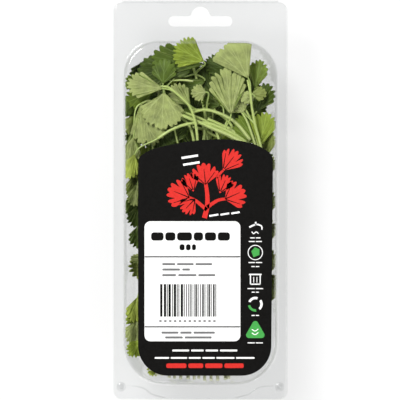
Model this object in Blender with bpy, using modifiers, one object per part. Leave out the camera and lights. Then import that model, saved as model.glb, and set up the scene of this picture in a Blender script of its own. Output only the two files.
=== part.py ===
"""A coriander bunch in a clear hang pack, lying on its back.

A thermoformed tray holds cut coriander: long stems with fan-shaped leaves, laid in
levels from the tray's floor up to the lid. A clear lid folds over on a living hinge
at the hanger end, and a printed label sits on it. A plain label sits under the tray.
+Y points to the hanger, +Z to the front label. The origin is under the middle.
"""

import math
from typing import NamedTuple

import bmesh
import bpy

MM = 0.001

# Pack
PACK_WIDTH = 87.5 * MM
PACK_LENGTH = 200.0 * MM
SHEET = 0.5 * MM  # thickness of the thermoformed sheet
ROUND_SIDES = 14
GAP = 0.3 * MM  # clearance between neighbouring pieces
FLANGE_Z = 28.0 * MM  # upper face of the tray's flange
LIP_DROP = 1.5 * MM
LIP_SLOPE = 0.35 * MM
OUTER_CORNER = 4.5 * MM

# Mouth of the tray
MOUTH_HALF_WIDTH = 38.25 * MM
MOUTH_LOW_Y = -91.3 * MM
MOUTH_HIGH_Y = 79.25 * MM
MOUTH_TOP_CORNER = 17.0 * MM
MOUTH_BOTTOM_CORNER = 20.0 * MM
MOUTH_BOW = 0.9 * MM  # how far the bottom edge bows outwards

# Tray profile below the flange, as (inset from the mouth, height)
TRAY_PROFILE = [
    (0.0 * MM, 28.0 * MM),
    (0.5 * MM, 27.3 * MM),
    (5.0 * MM, 5.5 * MM),
    (6.3 * MM, 2.2 * MM),
    (9.0 * MM, 0.5 * MM),
    (11.6 * MM, 0.5 * MM),
    (12.4 * MM, 1.1 * MM),
]

# Lid
LID_INSET = 0.75 * MM  # how far the lid's edge stands in from the tray's
LID_FLANGE_Z = FLANGE_Z + GAP + SHEET
LID_PROFILE = [
    (-0.6 * MM, LID_FLANGE_Z),
    (0.7 * MM, 30.9 * MM),
    (1.6 * MM, 31.3 * MM),
]

# Hinge, hanger slot and snaps
HINGE_RADIUS = 0.4 * MM
HINGE_HALF_LENGTH = 39.0 * MM
HINGE_Y = PACK_LENGTH / 2 - HINGE_RADIUS
HINGE_Z = FLANGE_Z + GAP / 2
SHEET_TOP_Y = HINGE_Y - HINGE_RADIUS - GAP
SLOT_HALF_WIDTH = 16.0 * MM
SLOT_LOW_Y = 86.75 * MM
SLOT_HIGH_Y = 92.0 * MM
SLOT_PEAK_RADIUS = 4.7 * MM
SLOT_FILLET = 1.6 * MM
SNAP_X = 39.6 * MM
SNAP_Y = -93.4 * MM
STUD_RADIUS = 1.3 * MM
STUD_TOP = FLANGE_Z + 1.2 * MM
SOCKET_RADIUS = STUD_RADIUS + 0.4 * MM
SOCKET_ROOF = STUD_TOP + 0.4 * MM
SNAP_CAP_RADIUS = SOCKET_RADIUS + SHEET
SNAP_CAP_TOP = SOCKET_ROOF + SHEET

# Labels
LABEL_THICKNESS = 0.2 * MM
BACK_LABEL_HALF_WIDTH = 22.0 * MM
BACK_LABEL_HALF_LENGTH = 66.0 * MM
BACK_LABEL_CORNER = 5.0 * MM

# Herbs
PILE_FLOOR = [(0.0, FLANGE_Z), (5.0 * MM, 6.0 * MM), (9.0 * MM, 2.4 * MM)]  # inset, height
PILE_TOP = 30.3 * MM  # highest a leaf reaches, under the lid
PILE_MARGIN = 0.9 * MM  # how far the pile stands off the tray's wall
PILE_EDGE = 3.0 * MM  # width of the band along the wall where the pile's top falls
PILE_EDGE_FALL = 2.0 * MM
LEVELS = 12
BLADE_THICKNESS = 0.4 * MM
PETIOLE_WIDTH = 1.3 * MM
BLADE_ROWS = 3
BLADE_COLUMNS = 10
SIDE_FALL = 0.46  # how much shorter a leaf is at its sides
LOBE_DEPTH = 0.08
WAVE = 1.5 * MM  # how far the pile's middle levels rise and fall
WAVE_X = 13.0 * MM
WAVE_Y = 17.0 * MM
WAVE_PHASE = 0.8
CROSS_WAVE = 0.4  # size of a second, slanted wave beside the first
STEM_STEP = 8.5 * MM
STEM_RADIUS = 0.85 * MM
TIP_SHARE = 0.72  # a stem's radius at its leaf end, as a share of that at its cut end

GREEN_LEAF = (0.16, 0.33, 0.05)
PALE_LEAF = (0.38, 0.48, 0.20)
GREEN_STEM = (0.50, 0.60, 0.20)
CLEAR_SHEET = (0.92, 0.94, 0.94)
LABEL_BLACK = (0.012, 0.011, 0.010)


class Leaf(NamedTuple):
    """One leaflet: where its stalk starts, where it points and how it spreads."""

    x: float
    y: float
    heading: float
    length: float
    spread: float
    level: float


class Stem(NamedTuple):
    """One stem: the points it passes, from its leaf end to its cut end."""

    level: float
    route: list
    radius: float = STEM_RADIUS


# Places in millimetres, headings and half spreads in degrees, levels from 1 (the
# tray's floor) to LEVELS (under the lid).
LEAVES = {
    "leaf_centre": Leaf(15.3, 43.0, 97, 22.5, 49, 11.5),
    "leaf_left_fold": Leaf(-19.2, 56.4, 178, 17.0, 38, 12.0),
    "leaf_top_right": Leaf(23.3, 61.0, 112, 16.5, 57, 12.0),
    "leaf_left_broad": Leaf(-18.2, 53.4, 265, 17.5, 70, 11.2),
    "leaf_left_long": Leaf(-29.7, 47.8, 280, 20.5, 47, 10.2),
    "leaf_stem_side": Leaf(24.0, 44.4, 152, 9.0, 43, 10.6),
    "leaf_right_low": Leaf(29.6, 27.0, 82, 16.0, 38, 10.6),
    "leaf_right_inner": Leaf(28.2, 28.0, 122, 15.5, 42, 10.0),
    "leaf_small_left": Leaf(-5.6, 48.0, 130, 12.5, 43, 9.4),
    "leaf_small_right": Leaf(4.2, 52.4, 168, 8.0, 48, 11.2),
    "leaf_grey": Leaf(-18.7, 58.6, 85, 9.5, 67, 10.2),
    "leaf_dark_small": Leaf(-13.2, 61.0, 45, 9.0, 48, 9.4),
    "leaf_top_bright": Leaf(1.4, 69.6, 152, 14.5, 42, 10.6),
    "leaf_top_dark": Leaf(0.4, 67.6, 171, 24.0, 33, 9.8),
    "leaf_left_dark": Leaf(-12.6, 66.0, 190, 18.5, 48, 8.8),
    "leaf_left_behind": Leaf(-24.4, 54.4, 205, 11.0, 53, 9.4),
    "leaf_right_olive": Leaf(27.4, 56.2, 80, 12.5, 42, 9.6),
    "leaf_right_dark": Leaf(28.3, 44.6, 72, 13.0, 43, 8.8),
    "leaf_under_centre": Leaf(20.6, 36.4, 126, 10.0, 46, 8.6),
    "leaf_under_arc": Leaf(-20.6, 35.4, 290, 15.0, 46, 8.6),
    "leaf_side_pale": Leaf(-33.4, 35.6, 268, 15.0, 30, 8.8),
    "leaf_side_bright": Leaf(-26.4, 16.6, 195, 9.5, 53, 8.8),
    "leaf_side_soft": Leaf(-31.6, 7.6, 266, 10.5, 42, 9.4),
    "leaf_side_dark": Leaf(-30.6, -2.6, 262, 11.0, 46, 8.6),
    "leaf_side_small": Leaf(-27.6, -29.4, 180, 7.0, 44, 8.6),
    "leaf_side_long": Leaf(-26.4, -48.0, 248, 18.0, 32, 8.6),
    "leaf_side_last": Leaf(-22.4, -68.6, 214, 10.0, 46, 9.4),
    "leaf_deep_1a": Leaf(-4.0, 42.0, 92, 26.0, 48, 5.2),
    "leaf_deep_1b": Leaf(-8.0, 36.0, 152, 21.0, 41, 5.2),
    "leaf_deep_1c": Leaf(0.5, 36.5, 28, 23.0, 38, 5.2),
    "leaf_deep_2a": Leaf(6.0, -6.0, 84, 25.0, 50, 5.2),
    "leaf_deep_2b": Leaf(2.0, -11.0, 150, 21.0, 41, 6.1),
    "leaf_deep_2c": Leaf(10.5, -11.5, 24, 18.0, 41, 5.2),
    "leaf_deep_3a": Leaf(8.0, 38.0, 80, 25.0, 50, 2.6),
    "leaf_deep_3b": Leaf(4.0, 32.0, 148, 22.0, 41, 2.6),
    "leaf_deep_3c": Leaf(12.5, 32.5, 22, 14.0, 41, 2.6),
    "leaf_deep_4a": Leaf(-8.0, -16.0, 95, 26.0, 48, 2.6),
    "leaf_deep_4b": Leaf(-12.0, -21.0, 158, 15.0, 41, 2.6),
    "leaf_deep_4c": Leaf(-3.5, -21.5, 30, 23.0, 38, 2.6),
}

STEMS = {
    "stem_left_fold": Stem(11.7, [
        (-18.2, 56.7), (-15.8, 56.2), (-12.2, 53.5), (-8.2, 50.0), (-5.2, 46.5),
        (-3.6, 42.5), (-2.4, 38.0), (-1.6, 32.0), (-1.0, 24.0), (0.0, 0.0),
        (2.0, -40.0), (3.0, -82.0)]),
    "stem_top_right": Stem(11.7, [
        (23.6, 60.0), (24.4, 56.5), (25.1, 53.0), (25.5, 48.0), (26.4, 42.5),
        (27.6, 36.5), (29.4, 30.0), (30.6, 24.0), (30.8, 10.0), (28.0, -20.0),
        (22.0, -55.0), (17.0, -83.0)]),
    "stem_arc": Stem(10.8, [
        (-21.2, 30.8), (-16.2, 34.2), (-11.2, 36.6), (-6.2, 38.0), (-1.2, 38.6),
        (4.0, 38.3), (9.0, 36.6), (13.6, 34.5), (18.4, 31.9), (22.6, 28.6),
        (25.4, 22.0), (25.6, 8.0), (21.0, -25.0), (14.0, -60.0), (11.0, -84.0)], 1.05 * MM),
    "stem_small_left": Stem(9.2, [
        (-5.5, 47.2), (-4.8, 45.4), (-0.4, 45.2), (4.2, 45.3), (8.4, 43.6),
        (12.4, 41.0), (15.6, 37.4), (17.6, 31.0), (18.2, 15.0), (15.0, -20.0),
        (9.0, -55.0), (6.5, -83.0)]),
    "stem_left_long": Stem(10.0, [
        (-28.9, 48.6), (-25.4, 49.6), (-20.6, 47.0), (-16.2, 44.8), (-12.0, 44.2),
        (-8.0, 43.7), (-4.2, 42.4), (0.0, 40.8), (4.2, 38.4), (8.0, 34.0),
        (10.4, 26.0), (11.0, 10.0), (8.0, -25.0), (2.0, -60.0), (-1.0, -84.0)]),
    "stem_left_broad": Stem(9.2, [
        (-18.6, 51.6), (-17.6, 48.0), (-14.4, 44.6), (-10.4, 41.6), (-6.6, 38.6),
        (-4.0, 33.0), (-2.6, 24.0), (-2.0, 5.0), (-4.0, -30.0), (-6.0, -83.0)]),
    "stem_under_arc": Stem(8.4, [
        (-4.0, 36.6), (0.8, 35.6), (5.8, 33.0), (10.6, 30.2), (14.0, 26.0),
        (13.0, 5.0), (6.0, -30.0), (-3.0, -82.0)]),
    "stem_deep_1": Stem(5.2, [
        (-4.0, 41.0), (-4.0, 34.0), (-8.0, 14.0), (-15.0, -10.0), (-16.5, -40.0),
        (-14.0, -82.0)], 1.0 * MM),
    "stem_deep_2": Stem(5.2, [
        (6.0, -7.0), (6.2, -14.0), (8.0, -36.0), (9.0, -60.0), (9.5, -83.0)], 1.0 * MM),
    "stem_deep_3": Stem(2.6, [
        (8.0, 37.0), (8.6, 29.0), (14.0, 10.0), (18.0, -14.0), (18.0, -48.0),
        (15.5, -80.0)], 1.0 * MM),
    "stem_deep_4": Stem(2.6, [
        (-8.0, -17.0), (-7.8, -24.0), (-7.0, -45.0), (-6.0, -81.0)], 1.0 * MM),
    "stem_loose_left": Stem(7.0, [
        (-20.0, 62.0), (-22.0, 40.0), (-25.0, 10.0), (-24.0, -30.0), (-17.0, -80.0)]),
    "stem_loose_middle": Stem(7.0, [
        (-4.0, 68.0), (2.0, 45.0), (4.0, 15.0), (0.0, -30.0), (-3.0, -82.0)]),
    "stem_loose_right": Stem(7.0, [
        (20.0, 66.0), (23.0, 40.0), (24.0, 10.0), (20.0, -30.0), (11.0, -82.0)]),
}


def clear_scene():
    """Remove every object of the scene."""
    for item in list(bpy.data.objects):
        bpy.data.objects.remove(item, do_unlink=True)


def new_collection(name):
    """A collection linked to the scene."""
    made = bpy.data.collections.new(name)
    bpy.context.scene.collection.children.link(made)
    return made


def new_material(name, colour, roughness, alpha=1.0):
    """A Principled material with a plain colour."""
    material = bpy.data.materials.new(name)
    material.use_nodes = True
    shader = material.node_tree.nodes["Principled BSDF"]
    shader.inputs["Base Color"].default_value = (*colour, 1.0)
    shader.inputs["Roughness"].default_value = roughness
    shader.inputs["Alpha"].default_value = alpha
    material.diffuse_color = (*colour, alpha)
    return material


def add_mesh_object(name, shape, collection, material=None):
    """An object from a bmesh, which is freed."""
    mesh = bpy.data.meshes.new(name)
    bmesh.ops.recalc_face_normals(shape, faces=shape.faces)
    shape.to_mesh(mesh)
    shape.free()
    made = bpy.data.objects.new(name, mesh)
    collection.objects.link(made)
    if material:
        mesh.materials.append(material)
    return made


def arc(centre_x, centre_y, radius, start, end, steps):
    """Points along an arc, with start and end in degrees."""
    points = []
    for step in range(steps + 1):
        angle = math.radians(start + (end - start) * step / steps)
        points.append((centre_x + radius * math.cos(angle), centre_y + radius * math.sin(angle)))
    return points


def rounded_outline(half_width, low, high, top_corner, bottom_corner, bow=0.0, steps=5, along=4):
    """A rounded rectangle from its right side, anticlockwise; its low edge bows outwards."""
    outline = arc(half_width - top_corner, high - top_corner, top_corner, 0, 90, steps)
    outline += arc(-half_width + top_corner, high - top_corner, top_corner, 90, 180, steps)
    outline += arc(-half_width + bottom_corner, low + bottom_corner, bottom_corner, 180, 270, steps)
    straight = half_width - bottom_corner
    for step in range(1, along):
        outline.append((-straight + 2 * straight * step / along, low))
    outline += arc(half_width - bottom_corner, low + bottom_corner, bottom_corner, 270, 360, steps)
    return [(x, y - bow * bow_share(x, half_width) if y < low + bottom_corner else y) for x, y in outline]


def bow_share(x, half_width):
    """How much of the bow a point of the low edge takes: all in the middle, none at the sides."""
    return 1.0 - (x / half_width) ** 2


def mouth_outline(inset):
    """The tray's mouth, moved inwards by inset."""
    return rounded_outline(
        MOUTH_HALF_WIDTH - inset,
        MOUTH_LOW_Y + inset,
        MOUTH_HIGH_Y - inset,
        MOUTH_TOP_CORNER - inset,
        MOUTH_BOTTOM_CORNER - inset,
        MOUTH_BOW,
    )


def sheet_edge(inset):
    """The outer edge of a flange, moved inwards by inset but not at the hinge."""
    corner = OUTER_CORNER - inset
    return rounded_outline(
        PACK_WIDTH / 2 - inset, -PACK_LENGTH / 2 + inset, SHEET_TOP_Y, corner, corner
    )


def loft(rings):
    """An open surface through rings of equal point counts, its last ring filled."""
    shape = bmesh.new()
    loops = [[shape.verts.new((x, y, z)) for x, y in outline] for outline, z in rings]
    for outer, inner in zip(loops, loops[1:]):
        count = len(outer)
        for i in range(count):
            j = (i + 1) % count
            shape.faces.new((outer[i], outer[j], inner[j], inner[i]))
    shape.faces.new(loops[-1])
    return shape


def add_thermoformed(name, rings, collection, material):
    """A sheet of even thickness under the surface through rings."""
    made = add_mesh_object(name, loft(rings), collection, material)
    if made.data.polygons[-1].normal.z < 0:
        made.data.flip_normals()
    solidify = made.modifiers.new("sheet", "SOLIDIFY")
    solidify.thickness = SHEET
    solidify.offset = -1.0
    solidify.use_even_offset = True
    made.data.shade_smooth()
    made.data.set_sharp_from_angle(angle=math.radians(35))
    return made


def add_cylinder(name, x, y, radius, low, high, collection):
    """An upright cylinder that a Boolean joins or cuts."""
    shape = bmesh.new()
    bmesh.ops.create_cone(
        shape, cap_ends=True, segments=ROUND_SIDES, radius1=radius, radius2=radius, depth=high - low
    )
    bmesh.ops.translate(shape, verts=shape.verts, vec=(x, y, (low + high) / 2))
    return hide_helper(add_mesh_object(name, shape, collection))


def hide_helper(helper):
    """Keep a cutter or joiner out of the model."""
    helper.hide_render = True
    helper.display_type = "WIRE"
    return helper


def slot_outline():
    """The hanger slot: a wide slot with round ends and a round peak over its middle."""
    end = (SLOT_HIGH_Y - SLOT_LOW_Y) / 2
    middle = (SLOT_HIGH_Y + SLOT_LOW_Y) / 2
    reach = SLOT_PEAK_RADIUS + SLOT_FILLET
    fillet_x = math.sqrt(reach**2 - SLOT_FILLET**2)
    tangent = math.degrees(math.asin(SLOT_FILLET / reach))
    outline = arc(SLOT_HALF_WIDTH - end, middle, end, -90, 90, 6)
    outline += arc(fillet_x, SLOT_HIGH_Y + SLOT_FILLET, SLOT_FILLET, 270, 180 + tangent, 3)
    outline += arc(0, SLOT_HIGH_Y, SLOT_PEAK_RADIUS, tangent, 180 - tangent, 10)[1:-1]
    outline += arc(-fillet_x, SLOT_HIGH_Y + SLOT_FILLET, SLOT_FILLET, -tangent, -90, 3)
    outline += arc(-SLOT_HALF_WIDTH + end, middle, end, 90, 270, 6)
    return outline


def add_prism(name, outline, low, high, collection, material=None):
    """A flat outline with straight sides, made as a filled 2D curve and turned to a mesh."""
    curve = bpy.data.curves.new(name, "CURVE")
    curve.dimensions = "2D"
    curve.fill_mode = "BOTH"
    curve.extrude = (high - low) / 2
    spline = curve.splines.new("POLY")
    spline.points.add(len(outline) - 1)
    for point, (x, y) in zip(spline.points, outline):
        point.co = (x, y, 0.0, 1.0)
    spline.use_cyclic_u = True
    drawn = bpy.data.objects.new(name + "_drawn", curve)
    collection.objects.link(drawn)
    bpy.context.view_layer.update()
    evaluated = drawn.evaluated_get(bpy.context.evaluated_depsgraph_get())
    mesh = bpy.data.meshes.new_from_object(evaluated)
    bpy.data.objects.remove(drawn, do_unlink=True)
    shape = bmesh.new()
    shape.from_mesh(mesh)
    bpy.data.meshes.remove(mesh)
    bmesh.ops.remove_doubles(shape, verts=shape.verts, dist=0.00001)
    made = add_mesh_object(name, shape, collection, material)
    made.location.z = (low + high) / 2
    return made


def add_boolean(target, tool, operation):
    """Join tool to target or cut it from target."""
    boolean = target.modifiers.new(tool.name, "BOOLEAN")
    boolean.operation = operation
    boolean.object = tool
    boolean.solver = "EXACT"


def build_tray(collection, tools, slot, material):
    """The clear tray with its flange, lip, hanger slot and two snap studs."""
    rings = [(sheet_edge(0.0), FLANGE_Z - LIP_DROP), (sheet_edge(LIP_SLOPE), FLANGE_Z)]
    rings += [(mouth_outline(inset), height) for inset, height in TRAY_PROFILE]
    tray = add_thermoformed("tray", rings, collection, material)
    for side, x in (("left", -SNAP_X), ("right", SNAP_X)):
        stud = add_cylinder(
            "stud_" + side, x, SNAP_Y, STUD_RADIUS, FLANGE_Z - SHEET / 2, STUD_TOP, tools
        )
        add_boolean(tray, stud, "UNION")
    add_boolean(tray, slot, "DIFFERENCE")
    return tray


def build_lid(collection, tools, slot, material):
    """The clear lid with its raised panel, hanger slot and two snap sockets."""
    rings = [(sheet_edge(LID_INSET), LID_FLANGE_Z)]
    rings += [(mouth_outline(inset), height) for inset, height in LID_PROFILE]
    lid = add_thermoformed("lid", rings, collection, material)
    for side, x in (("left", -SNAP_X), ("right", SNAP_X)):
        cap = add_cylinder(
            "cap_" + side, x, SNAP_Y, SNAP_CAP_RADIUS, LID_FLANGE_Z - SHEET / 2, SNAP_CAP_TOP, tools
        )
        socket = add_cylinder(
            "socket_" + side, x, SNAP_Y, SOCKET_RADIUS, FLANGE_Z, SOCKET_ROOF, tools
        )
        add_boolean(lid, cap, "UNION")
        add_boolean(lid, socket, "DIFFERENCE")
    add_boolean(lid, slot, "DIFFERENCE")
    return lid


def build_hinge_fold(collection, material):
    """The bead along the crease where tray and lid are one sheet."""
    shape = bmesh.new()
    bmesh.ops.create_cone(
        shape,
        cap_ends=True,
        segments=ROUND_SIDES,
        radius1=HINGE_RADIUS,
        radius2=HINGE_RADIUS,
        depth=2 * HINGE_HALF_LENGTH,
    )
    fold = add_mesh_object("hinge_fold", shape, collection, material)
    fold.rotation_euler.y = math.radians(90)
    fold.location = (0.0, HINGE_Y, HINGE_Z)
    return fold


def label_outline():
    """The front label: straight sides, round foot corners and a lopsided arch on top."""
    foot_low, foot_corner = -87.7 * MM, 15.0 * MM
    left, right, right_foot = -31.1 * MM, 36.2 * MM, 35.4 * MM
    shoulder_y = 17.0 * MM
    arch = [(35.4, 22.3), (32.7, 25.0), (26.3, 28.0), (16.8, 30.0), (7.2, 30.3),
            (-5.5, 29.3), (-18.3, 26.9), (-25.2, 24.8), (-29.4, 22.4)]
    outline = [(right, shoulder_y)]
    outline += [(x * MM, y * MM) for x, y in arch]
    outline += [(left, shoulder_y)]
    outline += arc(left + foot_corner, foot_low + foot_corner, foot_corner, 180, 270, 6)
    outline += arc(right_foot - foot_corner, foot_low + foot_corner, foot_corner, 270, 360, 6)
    return outline


def build_labels(collection, material):
    """The front label on the lid's panel and the back label in the tray's recess."""
    front_low = LID_PROFILE[-1][1] + GAP
    add_prism("front_label", label_outline(), front_low, front_low + LABEL_THICKNESS, collection, material)
    back_high = TRAY_PROFILE[-1][1] - SHEET - GAP
    middle = (MOUTH_LOW_Y + MOUTH_HIGH_Y) / 2
    outline = rounded_outline(
        BACK_LABEL_HALF_WIDTH,
        middle - BACK_LABEL_HALF_LENGTH,
        middle + BACK_LABEL_HALF_LENGTH,
        BACK_LABEL_CORNER,
        BACK_LABEL_CORNER,
    )
    add_prism("back_label", outline, back_high - LABEL_THICKNESS, back_high, collection, material)


def wall_distance(x, y):
    """How far a point lies inside the mouth's outline."""
    corner = MOUTH_TOP_CORNER if y > 0 else MOUTH_BOTTOM_CORNER
    middle = (MOUTH_LOW_Y + MOUTH_HIGH_Y) / 2
    half_length = (MOUTH_HIGH_Y - MOUTH_LOW_Y) / 2
    past_x = abs(x) - (MOUTH_HALF_WIDTH - corner)
    past_y = abs(y - middle) - (half_length - corner)
    outside = math.hypot(max(past_x, 0.0), max(past_y, 0.0))
    return corner - outside - min(max(past_x, past_y), 0.0)


def tray_floor(x, y):
    """Height of the tray's inner face, with the pile's margin to it."""
    inset = wall_distance(x, y) - PILE_MARGIN
    for (start, high), (end, low) in zip(PILE_FLOOR, PILE_FLOOR[1:]):
        if inset < end:
            return high + (low - high) * max(inset - start, 0.0) / (end - start)
    return PILE_FLOOR[-1][1]


def pile_height(level, x, y):
    """Height of a level of the pile, which waves in the middle and bends up at the walls."""
    share = (level - 0.5) / (LEVELS - 0.5)
    low = tray_floor(x, y)
    edge = min(max(1.0 - wall_distance(x, y) / PILE_EDGE, 0.0), 1.0)
    high = PILE_TOP - PILE_EDGE_FALL * edge**2
    wave = math.sin(x / WAVE_X + WAVE_PHASE) * math.cos(y / WAVE_Y)
    wave += CROSS_WAVE * math.sin(x / WAVE_X + 2 * y / WAVE_Y)
    return low + (high - low) * share + WAVE * 4 * share * (1 - share) * wave


def blade_reach(across):
    """Share of a leaf's length reached at a place across its fan, from -1 to 1."""
    lobes = 1.0 - LOBE_DEPTH * math.sin(math.pi * 1.5 * across) ** 2
    return (1.0 - SIDE_FALL * across**2) * lobes


def build_leaf(name, leaf, collection, material):
    """A thin fan-shaped blade that narrows to its stalk and follows the pile."""
    shape = bmesh.new()
    bmesh.ops.create_grid(shape, x_segments=BLADE_COLUMNS, y_segments=BLADE_ROWS, size=1.0)
    heading = math.radians(leaf.heading)
    for vertex in shape.verts:
        across, along = vertex.co.x, (vertex.co.y + 1) / 2
        turn = heading + math.radians(leaf.spread) * across
        reach = leaf.length * MM * blade_reach(across) * along
        side = (1 - along) * PETIOLE_WIDTH / 2 * across
        x = leaf.x * MM + reach * math.cos(turn) - side * math.sin(heading)
        y = leaf.y * MM + reach * math.sin(turn) + side * math.cos(heading)
        vertex.co = (x, y, pile_height(leaf.level, x, y))
    blade = add_mesh_object(name, shape, collection, material)
    solidify = blade.modifiers.new("blade", "SOLIDIFY")
    solidify.thickness = BLADE_THICKNESS
    solidify.offset = 0.0
    blade.data.shade_smooth()
    return blade


def smooth_route(points, step):
    """Points about a step apart on a Catmull-Rom curve through a route."""
    path = [points[0], *points, points[-1]]
    found = []
    for before, start, end, after in zip(path, path[1:], path[2:], path[3:]):
        length = math.dist(start, end)
        pieces = max(1, round(length / step))
        for piece in range(pieces):
            t = piece / pieces
            found.append(tuple(
                0.5 * (2 * b + (c - a) * t + (2 * a - 5 * b + 4 * c - d) * t**2
                       + (3 * b - a - 3 * c + d) * t**3)
                for a, b, c, d in zip(before, start, end, after)
            ))
    found.append(points[-1])
    return found


def build_stem(name, stem, collection, material):
    """A round stem that follows the pile and thickens towards its cut end."""
    route = smooth_route([(x * MM, y * MM) for x, y in stem.route], STEM_STEP)
    curve = bpy.data.curves.new(name, "CURVE")
    curve.dimensions = "3D"
    curve.bevel_depth = stem.radius
    curve.bevel_resolution = 2
    curve.use_fill_caps = True
    spline = curve.splines.new("POLY")
    spline.points.add(len(route) - 1)
    for i, (point, (x, y)) in enumerate(zip(spline.points, route)):
        point.co = (x, y, pile_height(stem.level, x, y), 1.0)
        point.radius = TIP_SHARE + (1.0 - TIP_SHARE) * i / (len(route) - 1)
    made = bpy.data.objects.new(name, curve)
    curve.materials.append(material)
    collection.objects.link(made)
    return made


def main():
    """Build the pack, its labels and the herbs."""
    clear_scene()
    part = new_collection("coriander_pack")
    tools = new_collection("cutters")
    clear = new_material("clear_sheet", CLEAR_SHEET, 0.08, 0.25)
    black = new_material("label_black", LABEL_BLACK, 0.35)
    green = new_material("leaf_green", GREEN_LEAF, 0.5)
    pale = new_material("leaf_pale", PALE_LEAF, 0.55)
    stalk = new_material("stem_green", GREEN_STEM, 0.4)

    slot = hide_helper(add_prism("slot", slot_outline(), FLANGE_Z - 2 * MM, FLANGE_Z + 3 * MM, tools))
    build_tray(part, tools, slot, clear)
    build_lid(part, tools, slot, clear)
    build_hinge_fold(part, clear)
    build_labels(part, black)
    for name, leaf in LEAVES.items():
        build_leaf(name, leaf, part, green if "dark" in name or "deep" in name else pale)
    for name, stem in STEMS.items():
        build_stem(name, stem, part, stalk)


main()
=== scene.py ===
"""A coriander bunch in a clear hang pack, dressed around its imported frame.

The pack lies on its back. Detailed leaves take the places of the frame's plain blades, ribbed
stems take the places of its plain rods, and finer shells, labels and print cover the rest.
Lengths are in metres, +Y points to the hanger and +Z to the front label.
"""

import logging
import math
import random
from dataclasses import dataclass, field
from enum import Enum
from functools import partial
from typing import Callable, Iterable, Sequence

import bmesh
import bpy
import numpy as np
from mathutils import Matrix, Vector


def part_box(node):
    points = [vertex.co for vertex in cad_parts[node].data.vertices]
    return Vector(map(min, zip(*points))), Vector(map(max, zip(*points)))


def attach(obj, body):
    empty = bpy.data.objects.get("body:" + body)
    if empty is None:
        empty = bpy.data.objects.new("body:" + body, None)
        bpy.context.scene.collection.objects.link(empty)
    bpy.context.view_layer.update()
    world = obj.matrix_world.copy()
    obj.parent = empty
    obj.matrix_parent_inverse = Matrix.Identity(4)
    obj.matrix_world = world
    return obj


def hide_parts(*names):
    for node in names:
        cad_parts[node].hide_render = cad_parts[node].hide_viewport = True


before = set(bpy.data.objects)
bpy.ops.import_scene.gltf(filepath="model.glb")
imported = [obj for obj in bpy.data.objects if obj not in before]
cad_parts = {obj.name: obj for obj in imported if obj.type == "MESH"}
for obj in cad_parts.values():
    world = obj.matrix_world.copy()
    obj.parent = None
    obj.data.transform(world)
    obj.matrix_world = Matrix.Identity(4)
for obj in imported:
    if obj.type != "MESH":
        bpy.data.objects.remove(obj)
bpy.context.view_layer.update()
MM = 0.001
LOG = logging.getLogger("coriander_pack")
CORNER_STEPS = 12  # chords in each corner of the pack's rings
FOOT_POINTS = 7  # points along the foot of the pack's rings
BASE_REACH = 1.0 * MM  # points of a plain blade this close together are its base
RING_GAP = 0.92 * MM  # points of a plain rod this close together are one ring

Point = tuple[float, float]
Colour = tuple[float, float, float]
Surface = Callable[[np.ndarray, np.ndarray], np.ndarray]
Arrays = tuple[np.ndarray, np.ndarray]
Material = bpy.types.Material
Piece = bpy.types.Object
Socket = bpy.types.NodeSocket


# ---------------------------------------------------------------- meshes and nodes


def put(name: str, data: bpy.types.ID) -> Piece:
    """Put something in the scene.

    Args:
        name: the object's name.
        data: its mesh, light or camera.

    Returns:
        The new object.
    """
    made = bpy.data.objects.new(name, data)
    bpy.context.scene.collection.objects.link(made)
    return made


def new_object(name: str, vertices: Iterable, faces: Iterable, materials: Sequence[Material],
               smooth: bool = True) -> Piece:
    """Make an object from vertices and faces.

    Args:
        name: the object's name.
        vertices: points in metres.
        faces: tuples of vertex numbers.
        materials: the material slots, in order.
        smooth: shade the faces smooth.

    Returns:
        The new object, in the scene.
    """
    mesh = bpy.data.meshes.new(name)
    mesh.from_pydata([tuple(map(float, v)) for v in vertices], [], [tuple(map(int, f)) for f in faces])
    for material in materials:
        mesh.materials.append(material)
    if smooth:
        mesh.shade_smooth()
    return put(name, mesh)


def tube_faces(rings: int, sides: int) -> list[tuple]:
    """Faces between neighbouring rings of points.

    Args:
        rings: number of rings.
        sides: points in each ring.

    Returns:
        Tuples of four vertex numbers.
    """
    return [
        (i * sides + k, i * sides + (k + 1) % sides, (i + 1) * sides + (k + 1) % sides, (i + 1) * sides + k)
        for i in range(rings - 1)
        for k in range(sides)
    ]


def end_faces(rings: int, sides: int) -> list[tuple]:
    """The two faces that close a tube of rings with that many sides."""
    return [tuple(reversed(range(sides))), tuple(range((rings - 1) * sides, rings * sides))]


def add_values(piece: Piece, values: dict[str, np.ndarray]) -> None:
    """Store a number for each vertex under each name, for the finishes to read.

    Args:
        piece: the object.
        values: names and numbers.
    """
    for title, numbers in values.items():
        layer = piece.data.attributes.new(title, "FLOAT", "POINT")
        layer.data.foreach_set("value", np.ascontiguousarray(numbers, dtype=np.float32).ravel())


def fit(piece: Piece, body: str, slot: str, node: str = "") -> None:
    """Attach a piece to the body that carries it, hide the frame node that it takes the place of, and log it
    with its slot.

    Args:
        piece: the object.
        body: the body that carries it.
        slot: the record's material slot, for the log.
        node: the frame node that it replaces, if any.
    """
    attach(piece, body)
    if node:
        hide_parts(node)
    LOG.info("%s: on %s, %s", piece.name, body, slot)


def redress(node: str, material: Material) -> None:
    """Give a kept frame node that material alone.

    Args:
        node: the node's name.
        material: its finish.
    """
    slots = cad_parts[node].data.materials
    slots.clear()
    slots.append(material)
    LOG.info("%s: redressed", node)


def bake_modifiers(piece: Piece) -> None:
    """Replace a piece's mesh with its evaluated mesh and clear its modifiers.

    Args:
        piece: the object to settle.
    """
    bpy.context.view_layer.update()
    graph = bpy.context.evaluated_depsgraph_get()
    settled = bpy.data.meshes.new_from_object(piece.evaluated_get(graph))
    piece.modifiers.clear()
    old = piece.data
    piece.data = settled
    bpy.data.meshes.remove(old)


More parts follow.
